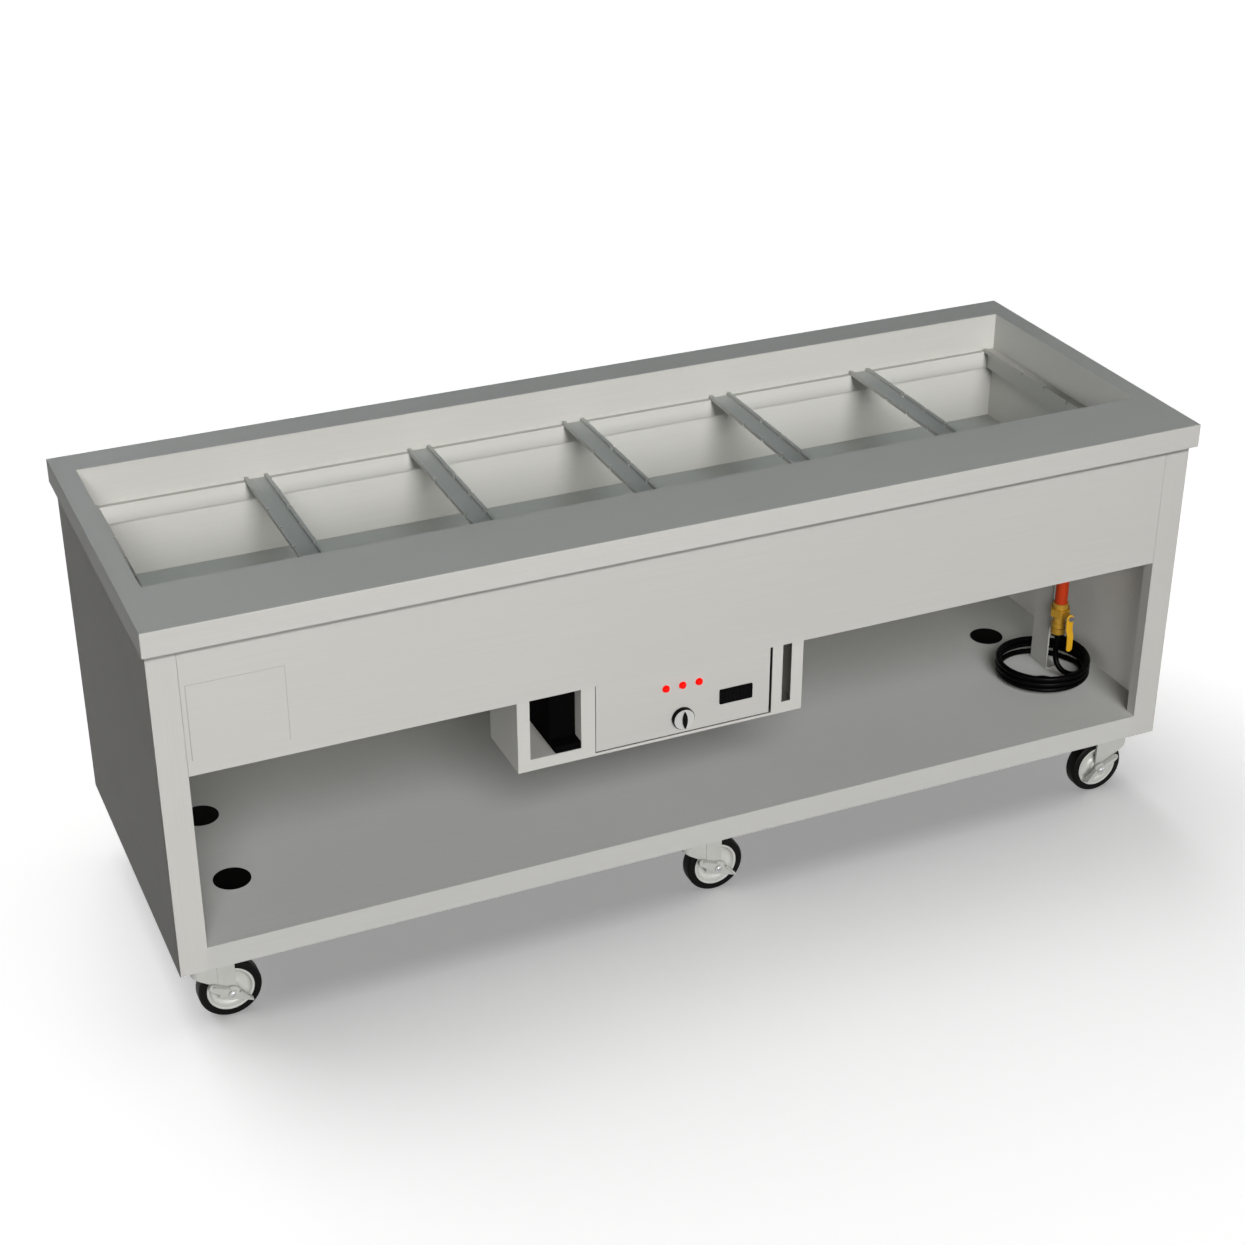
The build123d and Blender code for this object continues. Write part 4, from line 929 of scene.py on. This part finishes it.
@dataclass
class StorageBody:
    """Counter top, panels, posts, shelf with its plugs, and the channels under it."""

    rim: float = 0.0018
    rim_height: float = 0.0008
    rim_ease: float = 0.0002

    def build(self) -> None:
        """Dress the sheet metal, seat the plugs and fold the cover's rim, whose darker steel is a
        painted shadow line.
        """
        dress_nodes("steel_lengthwise", "countertop", "front_apron", "access_cover")
        dress_nodes("steel_lengthwise", "back_panel", "undershelf")
        dress_nodes("steel_upright", "left_front_post", "right_front_post", "shelf_post")
        # The end panels wear the duller copy of the steel: painted shade
        dress_nodes("steel_end_panel_shaded", "left_end_panel", "right_end_panel")
        dress_nodes("galvanised_sheet", "caster_channels")
        eased_copy("shelf_hole_plugs", "shelf_plugs", COUNTER, "black_moulding")
        self.fold_rim()

    def fold_rim(self) -> None:
        """Fold the thin rim at the top and the sides of the access cover, in darker steel that paints
        the shadow line round it.
        """
        low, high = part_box("access_cover")
        left, right, foot, top = low.x, high.x, low.z, high.z
        inner = ((left, foot), (left, top), (right, top), (right, foot))
        left, right, top = left - self.rim, right + self.rim, top + self.rim
        outer = ((right, foot), (right, top), (left, top), (left, foot))
        bm = bmesh.new()
        face = bm.faces.new([bm.verts.new((x, high.y, z)) for x, z in inner + outer])
        raised(bm, face, (0.0, -self.rim_height, 0.0), self.rim_ease)
        add_piece(bm, "cover_rim_painted_shadow", COUNTER, "steel_rim_painted_shadow")


@dataclass
class PanWell:
    """Liner, rails and lift-off bars, and what is hidden round them."""

    fold: float = 0.0006
    sheet: float = 0.0015

    def build(self) -> None:
        """Dress the well and round the folds of its bars and rails."""
        self.part_liner()
        dress_nodes("galvanised_sheet", "well_jacket")
        dress_nodes("wool_blanket", "well_insulation")
        dress_nodes("heater_sheath", "heating_element")
        dress_nodes("copper_tube", "evaporator_tube")
        eased_copy("pan_ledge_rails", "pan_rails", COUNTER, "steel_lengthwise", self.fold)
        for number, bar in enumerate(BARS, start=1):
            node = f"adapter_bar_{number}"
            eased_copy(node, bar, node, "steel_crosswise", self.fold)

    def part_liner(self) -> None:
        """Stand two pieces in for the liner: its walls and its floor."""
        liner = "well_liner"
        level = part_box(liner)[0].z + self.sheet
        for name, floor, stands_for in (("liner_walls", False, (liner,)), ("liner_floor", True, ())):
            bm = bmesh.new()
            bm.from_mesh(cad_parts[liner].data)
            others = [face for face in bm.faces if self.in_floor(face, level) != floor]
            bmesh.ops.delete(bm, geom=others, context="FACES")
            merge(bm)
            add_piece(bm, name, COUNTER, "steel_lengthwise", stands_for)

    @staticmethod
    def in_floor(face: bmesh.types.BMFace, level: float) -> bool:
        """Whether a face of the liner belongs to its floor sheet, rather than to a wall's foot on it.

        Args:
            face: The face.
            level: Height of the floor sheet's upper side.

        Returns:
            True for the floor sheet's own faces.
        """
        heights = [vert.co.z for vert in face.verts]
        slack = 1e-5
        wall_foot = min(heights) > level - slack and face.normal.z < 0
        return max(heights) < level + slack and not wall_foot


@dataclass
class ControlUnit:
    """Control box with its panel, knob, pilot lights and temperature display."""

    front: float = -0.357
    knob: Pair = (-0.0503, 0.464)
    knob_gap: float = 0.001
    knob_facets: int = 96
    skirt: Profile = (
        (0.0, 0.0), (0.0229, 0.0), (0.0235, 0.0006), (0.0235, 0.0088),
        (0.0232, 0.0096), (0.0225, 0.01), (0.0, 0.01),
    )
    disc: Profile = ((0.0, 0.0), (0.022, 0.0), (0.022, 0.0011), (0.0216, 0.0015), (0.0, 0.0015))
    grip_length: float = 0.039
    grip_width: float = 0.010
    grip_height: float = 0.005
    grip_ease: float = 0.0009
    grip_facets: int = 192
    light_z: float = 0.5382
    light_pitch: float = 0.0365
    light_facets: int = 40
    light_rim: Profile = (
        (0.0, 0.0), (0.0078, 0.0), (0.008, 0.0003),
        (0.008, 0.0016), (0.0076, 0.002), (0.0072, 0.002),
    )
    dome: float = 0.007
    dome_angles: range = range(8, 90, 8)
    display: Pair = (0.0695, 0.4907)
    display_face: float = 0.0025
    display_ease: float = 0.0006
    window: Pair = (0.062, 0.024)
    window_glass: float = 0.0004
    digit_pitch: float = 0.0175
    digit_half: float = 0.0042
    segment: Pair = (0.0066, 0.0013)
    segment_thick: float = 0.0001

    def build(self) -> None:
        """Dress the box and make its controls."""
        dress_nodes("steel_lengthwise", "control_box", "control_panel")
        dress_nodes("black_moulding", "thermostat_body")
        # The filter's black foam also stands in for the bay's deep shadow: partly painted shade
        dress_nodes("filter_foam_and_painted_shade", "intake_filter")
        self.make_knob()
        self.make_lights()
        self.make_display()

    def make_knob(self) -> None:
        """Turn the black skirt and its metal disc, and cut the lens-shaped grip."""
        body, slot = "thermostat_knob", "knob_black"
        x, z = self.knob
        back = self.front - self.knob_gap
        bm = turned(self.skirt, (x, back, z), FORWARD, self.knob_facets)
        add_piece(bm, "knob_skirt", body, "knob_moulding", (body,))
        face = back - self.skirt[-1][1]
        bm = turned(self.disc, (x, face, z), FORWARD, self.knob_facets)
        add_piece(bm, "knob_face", body, "knob_disc")
        bm = self.cut_grip((x, face - self.disc[-1][1], z))
        add_piece(bm, "knob_grip", body, "knob_moulding")

    def cut_grip(self, foot: Point) -> Mesh:
        """Cut the grip from two arcs.

        Args:
            foot: The middle of its foot.

        Returns:
            The grip's mesh.
        """
        radius = (self.grip_length**2 + self.grip_width**2) / (4 * self.grip_width)
        bm = bmesh.new()
        circle = Matrix.Translation((radius - self.grip_width / 2, 0, 0))
        facets = self.grip_facets
        bmesh.ops.create_circle(bm, cap_ends=True, radius=radius, segments=facets, matrix=circle)
        whole = bm.verts[:] + bm.edges[:] + bm.faces[:]
        bmesh.ops.bisect_plane(
            bm, geom=whole, plane_co=(0, 0, 0), plane_no=(1, 0, 0), clear_outer=True
        )
        half = bm.verts[:] + bm.edges[:] + bm.faces[:]
        bmesh.ops.mirror(bm, geom=half, axis="X", merge_dist=WELD)
        bmesh.ops.remove_doubles(bm, verts=bm.verts, dist=WELD)
        bmesh.ops.recalc_face_normals(bm, faces=bm.faces)
        middle = [edge for edge in bm.edges if len(edge.link_faces) == 2]
        bmesh.ops.dissolve_edges(bm, edges=middle, use_verts=False)
        bm.faces.ensure_lookup_table()
        raised(bm, bm.faces[0], (0, 0, self.grip_height), self.grip_ease)
        upright = Matrix.Rotation(math.pi / 2, 4, "X")
        bmesh.ops.transform(bm, matrix=Matrix.Translation(foot) @ upright, verts=bm.verts)
        return bm

    def make_lights(self) -> None:
        """Turn the three domed lenses."""
        rim = self.light_rim[-1][1]
        dome = arc(self.dome, self.dome, self.dome_angles)
        profile = [*self.light_rim, *((r, rim + h) for r, h in dome), (0.0, rim + self.dome)]
        lenses = []
        for place in THREE:
            spot = (self.knob[0] + place * self.light_pitch, self.front, self.light_z)
            lenses.append(turned(profile, spot, FORWARD, self.light_facets))
        bm = join_meshes(lenses)
        add_piece(bm, "pilot_lenses", COUNTER, "glowing_lens", ("pilot_lights",))

    def make_display(self) -> None:
        """Frame the dark window of the display and lay its unlit digits in it."""
        black, slot = "black_moulding", "display_black"
        eased_copy("display_module", "display_frame", COUNTER, black, self.display_ease)
        face = self.front - self.display_face
        bm = self.plate(self.display, self.window, face, self.window_glass)
        add_piece(bm, "display_glass", COUNTER, "display_window")
        face -= self.window_glass
        digits = []
        for place in THREE:
            digits += self.digit(self.display[0] + place * self.digit_pitch, face)
        add_piece(join_meshes(digits), "unlit_digits", COUNTER, "unlit_segment")

    def digit(self, x: float, face: float) -> list[Mesh]:
        """Seven thin bars of one unlit digit.

        Args:
            x: The digit's middle along X.
            face: The window's face along Y.

        Returns:
            The bars.
        """
        half, z = self.digit_half, self.display[1]
        bars = [((x, z + 2 * row * half), self.segment) for row in THREE]
        bars += [((x + side * half, z + row * half), self.segment[::-1]) for side, row in CORNERS]
        return [self.plate(spot, size, face, self.segment_thick) for spot, size in bars]

    @staticmethod
    def plate(spot: Pair, size: Pair, face: float, thick: float) -> Mesh:
        """Thin upright plate seated on a face.

        Args:
            spot: Its middle along X and Z.
            size: Its width and height.
            face: The face behind it, along Y.
            thick: Its thickness.

        Returns:
            The plate's mesh.
        """
        bm = bmesh.new()
        scale = Matrix.Diagonal((size[0], thick, size[1], 1.0))
        place = Matrix.Translation((spot[0], face - thick / 2, spot[1]))
        bmesh.ops.create_cube(bm, size=1.0, matrix=place @ scale)
        return bm


@dataclass
class Caster:
    """One swivel caster: fork, dished wheel, tyre, and a brake pedal in front."""

    place: str
    x: float
    y: float
    facing: int
    trail: float = 0.045
    axle: float = 0.0635
    fork_ease: float = 0.0008
    facets: int = 72
    tread: float = 0.032
    tyre_radius: float = 0.0635
    shoulder: float = 0.006
    shoulder_angles: range = range(0, 91, 15)
    rim_radius: float = 0.048
    wheel_side: Profile = (
        (0.0061, 0.0172), (0.0067, 0.0178), (0.013, 0.0178), (0.014, 0.0168), (0.016, 0.008),
        (0.02, 0.005), (0.035, 0.005), (0.0395, 0.008), (0.042, 0.014), (0.0428, 0.0156),
        (0.0436, 0.016), (0.047, 0.016), (0.0478, 0.0154),
    )
    pedal_ease: float = 0.0010
    tip_start: float = 0.030
    tip_draw: float = 0.008
    stub_radius: float = 0.0062
    stub_crown: float = 0.0022
    stub_angles: range = range(15, 90, 15)
    stub_facets: int = 32

    @property
    def hub(self) -> Point:
        """The wheel's centre."""
        return (self.x + self.facing * self.trail, self.y, self.axle)

    def build(self) -> None:
        """Make the wheel and dress the rest."""
        place = self.place
        fork, pressed = f"caster_fork_{place}", f"pressed_fork_{place}"
        eased_copy(fork, pressed, f"fork_{place}", "zinc_plate", self.fork_ease)
        self.turn_tyre()
        self.turn_wheel()
        if place.startswith("front"):
            node, rocking = f"brake_pedal_{place}", f"rocking_pedal_{place}"
            pedal = eased_copy(node, rocking, f"pedal_{place}", "zinc_plate", self.pedal_ease)
            self.draw_in_tips(pedal)
            self.turn_axle_head(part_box(fork)[0].y)

    def draw_in_tips(self, pedal: Piece) -> None:
        """Draw the pedal's two tips in, so that they end over the wheel's rim.

        Args:
            pedal: The pedal.
        """
        bm = bmesh.new()
        bm.from_mesh(pedal.data)
        for side in SIDES:
            tip = [vert for vert in bm.verts if side * (vert.co.x - self.hub[0]) > self.tip_start]
            bmesh.ops.translate(bm, vec=(-side * self.tip_draw, 0.0, 0.0), verts=tip)
        bm.to_mesh(pedal.data)
        bm.free()

    def turn_tyre(self) -> None:
        """Turn the rubber tyre with its rounded shoulders."""
        half, shoulder = self.tread / 2, self.shoulder
        flank, crown = self.tyre_radius - shoulder, half - shoulder
        corner = arc(shoulder, shoulder, self.shoulder_angles)
        side = [(flank + r, crown + h) for r, h in corner]
        side.append((self.rim_radius, half))
        bm = turned(both_sides(side), self.hub, BACKWARD, self.facets, closed=True)
        node, body = f"caster_tyre_{self.place}", f"wheel_{self.place}"
        add_piece(bm, f"rubber_tyre_{self.place}", body, "tyre_rubber", (node,))

    def turn_wheel(self) -> None:
        """Turn the dished wheel with the lip round its rim."""
        bm = turned(both_sides(self.wheel_side), self.hub, BACKWARD, self.facets, closed=True)
        node, body = f"caster_wheel_{self.place}", f"wheel_{self.place}"
        add_piece(bm, f"dished_wheel_{self.place}", body, "wheel_alloy", (node,))

    def turn_axle_head(self, front: float) -> None:
        """Turn the domed head on the brake's axle stub.

        Args:
            front: The stub's front end, along Y.
        """
        dome = arc(self.stub_radius, self.stub_crown, self.stub_angles)
        profile = [(self.stub_radius, 0.0), *dome, (0.0, self.stub_crown)]
        bm = turned(profile, (self.hub[0], front, self.axle), FORWARD, self.stub_facets)
        add_piece(bm, f"axle_dome_{self.place}", f"fork_{self.place}", "bright_chrome")


@dataclass
class CasterSet:
    """The six casters with their plates and bolts."""

    half_length: float = 1.052
    front: float = -0.316
    rear: float = 0.2948
    bolt_x: float = 0.0235
    bolt_y: float = 0.037
    bolt_radius: float = 0.0065
    bolt_head: float = 0.0053
    bolt_ease: float = 0.0005
    plate_under: float = 0.1555

    def spots(self) -> dict[str, tuple[float, float, int]]:
        """List where the casters stand.

        Returns:
            Place name to its swivel's x and y, and the way that it trails.
        """
        rows = (("front", self.front), ("rear", self.rear))
        columns = (("left", -self.half_length, 1), ("center", 0.0, 1), ("right", self.half_length, -1))
        return {f"{row}_{column}": (x, y, way) for row, y in rows for column, x, way in columns}

    def build(self) -> None:
        """Build every caster, and bolt its plate."""
        eased_copy("caster_plates", "caster_top_plates", COUNTER, "zinc_plate")
        bolts = []
        for place, (x, y, facing) in self.spots().items():
            Caster(place, x, y, facing).build()
            for side, end in CORNERS:
                bolts.append(self.bolt((x + side * self.bolt_x, y + end * self.bolt_y)))
        add_piece(join_meshes(bolts), "plate_bolts", COUNTER, "zinc_plate")

    def bolt(self, spot: Pair) -> Mesh:
        """Hexagon head under a plate.

        Args:
            spot: Its x and y.

        Returns:
            The head's mesh.
        """
        bm = bmesh.new()
        place = Matrix.Translation((*spot, self.plate_under))
        bmesh.ops.create_circle(bm, cap_ends=True, radius=self.bolt_radius, segments=6, matrix=place)
        bm.faces.ensure_lookup_table()
        raised(bm, bm.faces[0], (0.0, 0.0, -self.bolt_head), self.bolt_ease)
        return bm


@dataclass(frozen=True)
class Softbox:
    """One large soft lamp in front: its power, its place, and the pieces it is kept to or kept from."""

    name: str
    power: float
    place: Point
    kept_to: Names = ()
    kept_from: Names = ()


@dataclass(frozen=True)
class Sun:
    """One soft sun: its strength, the way to it, its width in degrees, what it is kept to, its tint."""

    name: str
    strength: float
    way: Point
    spread: float
    kept_to: Names = ()
    tint: Point = (1.0, 1.0, 1.0)


@dataclass
class Lamps:
    """Large softboxes in front of the counter, and soft suns round it."""

    aim: Point = (0.0, -0.38, 0.55)
    width: float = 3.6
    softboxes: tuple[Softbox, ...] = (
        Softbox("softbox", 335.0, (-0.62, -5.9, 2.55), kept_from=FLAGGED),
        Softbox("front_softbox", 140.7, (-2.3, -5.9, 2.55), kept_to=FRONT),
    )
    suns: tuple[Sun, ...] = (
        Sun("back_sun", 1.3, (0.1, 0.99, 0.02), 18.0),
        Sun("right_sun", 0.9, (0.99, -0.1, 0.02), 18.0),
        Sun("front_sun", 2.25, (-0.1, -0.76, 0.64), 10.0, FRONT),
        Sun("sky_sun", 0.14, (0.0, 0.0, 1.0), 40.0, ("countertop",), (0.35, 0.8, 1.0)),
        Sun("bar_sun", 0.26, (0.0, 0.0, 1.0), 40.0, BARS, (0.5, 0.85, 1.0)),
        Sun("well_sun", 2.95, (-0.14, -0.88, 0.45), 26.0, ("liner_walls",)),
        Sun("well_floor_sun", 0.5, (0.0, -0.25, 0.97), 40.0, ("liner_floor",), (0.7, 0.9, 1.0)),
        Sun("rail_sun", 2.9, (-0.03, -0.97, 0.25), 8.0, ("pan_rails",)),
        Sun("well_end_sun", 0.36, (-0.98, 0.05, 0.2), 24.0, WALLS, (0.85, 0.93, 1.0)),
        Sun("shelf_sun", 2.5, (-0.15, -0.82, 0.555), 34.0, ("undershelf",), (0.945, 0.97, 1.0)),
        Sun("lip_sun", 0.56, (-0.25, -0.97, 0.03), 3.0, ("undershelf",), (1.0, 0.95, 0.89)),
        Sun("end_sun", 0.22, (-0.9, -0.4, 0.15), 18.0, ("left_end_panel",)),
        Sun("bay_sun", 1.15, (-0.95, -0.3, 0.1), 60.0, ("right_end_panel", "control_box")),
        Sun("far_bay_sun", 1.15, (0.95, -0.3, 0.1), 60.0, ("left_end_panel",)),
        Sun("far_well_sun", 2.0, (0.1, 0.86, 0.44), 22.0, ("liner_walls",)),
        Sun("post_sun", 1.3, (0.2, -0.97, 0.1), 10.0, ("shelf_post",)),
        Sun("floor_sun", 1.75, (-0.25, 0.6, 0.76), 60.0, (FLOOR,)),
        Sun("overhead_sun", 1.13, (0.0, 0.0, 1.0), 60.0, (FLOOR,)),
    )

    def build(self) -> None:
        """Hang every lamp."""
        for box in self.softboxes:
            data = bpy.data.lights.new(box.name, "AREA")
            data.shape = "DISK"
            data.size = self.width
            data.energy = box.power
            place = Vector(box.place)
            self.hang(data, place - Vector(self.aim), box.kept_to, box.kept_from).location = place
        for sun in self.suns:
            data = bpy.data.lights.new(sun.name, "SUN")
            data.energy = sun.strength
            data.color = sun.tint
            data.angle = math.radians(sun.spread)
            self.hang(data, Vector(sun.way), sun.kept_to)

    def hang(self, data: bpy.types.Light, way: Vector, kept_to: Names, kept_from: Names = ()) -> Piece:
        """Hang a lamp that lights the counter but not the floor, or only the pieces named.

        Args:
            data: The lamp.
            way: The way from the counter to the lamp.
            kept_to: The pieces that it is kept to, if any.
            kept_from: The pieces that it is kept from, besides the floor.

        Returns:
            The lamp's object.
        """
        lamp = show(data.name, data)
        lamp.rotation_euler = way.to_track_quat("Z", "Y").to_euler()
        reach = bpy.data.collections.new(f"{data.name}_reach")
        for name in kept_to or (FLOOR, *kept_from):
            reach.objects.link(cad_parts.get(name) or bpy.data.objects[name])
        for piece in reach.collection_objects:
            piece.light_linking.link_state = "INCLUDE" if kept_to else "EXCLUDE"
        lamp.light_linking.receiver_collection = reach
        return lamp


def main() -> None:
    """Build the studio and the counter's sub-assemblies in order."""
    logging.basicConfig(level=logging.INFO, format="%(name)s: %(message)s")
    Effects().build()
    for finish in FINISHES:
        finish.make()
    assemblies = (Studio(), DrainLine(), StorageBody(), PanWell(), ControlUnit(), CasterSet(), Lamps())
    for assembly in assemblies:
        assembly.build()
        log.info("%s is built", type(assembly).__name__)


if __name__ == "__main__":
    main()
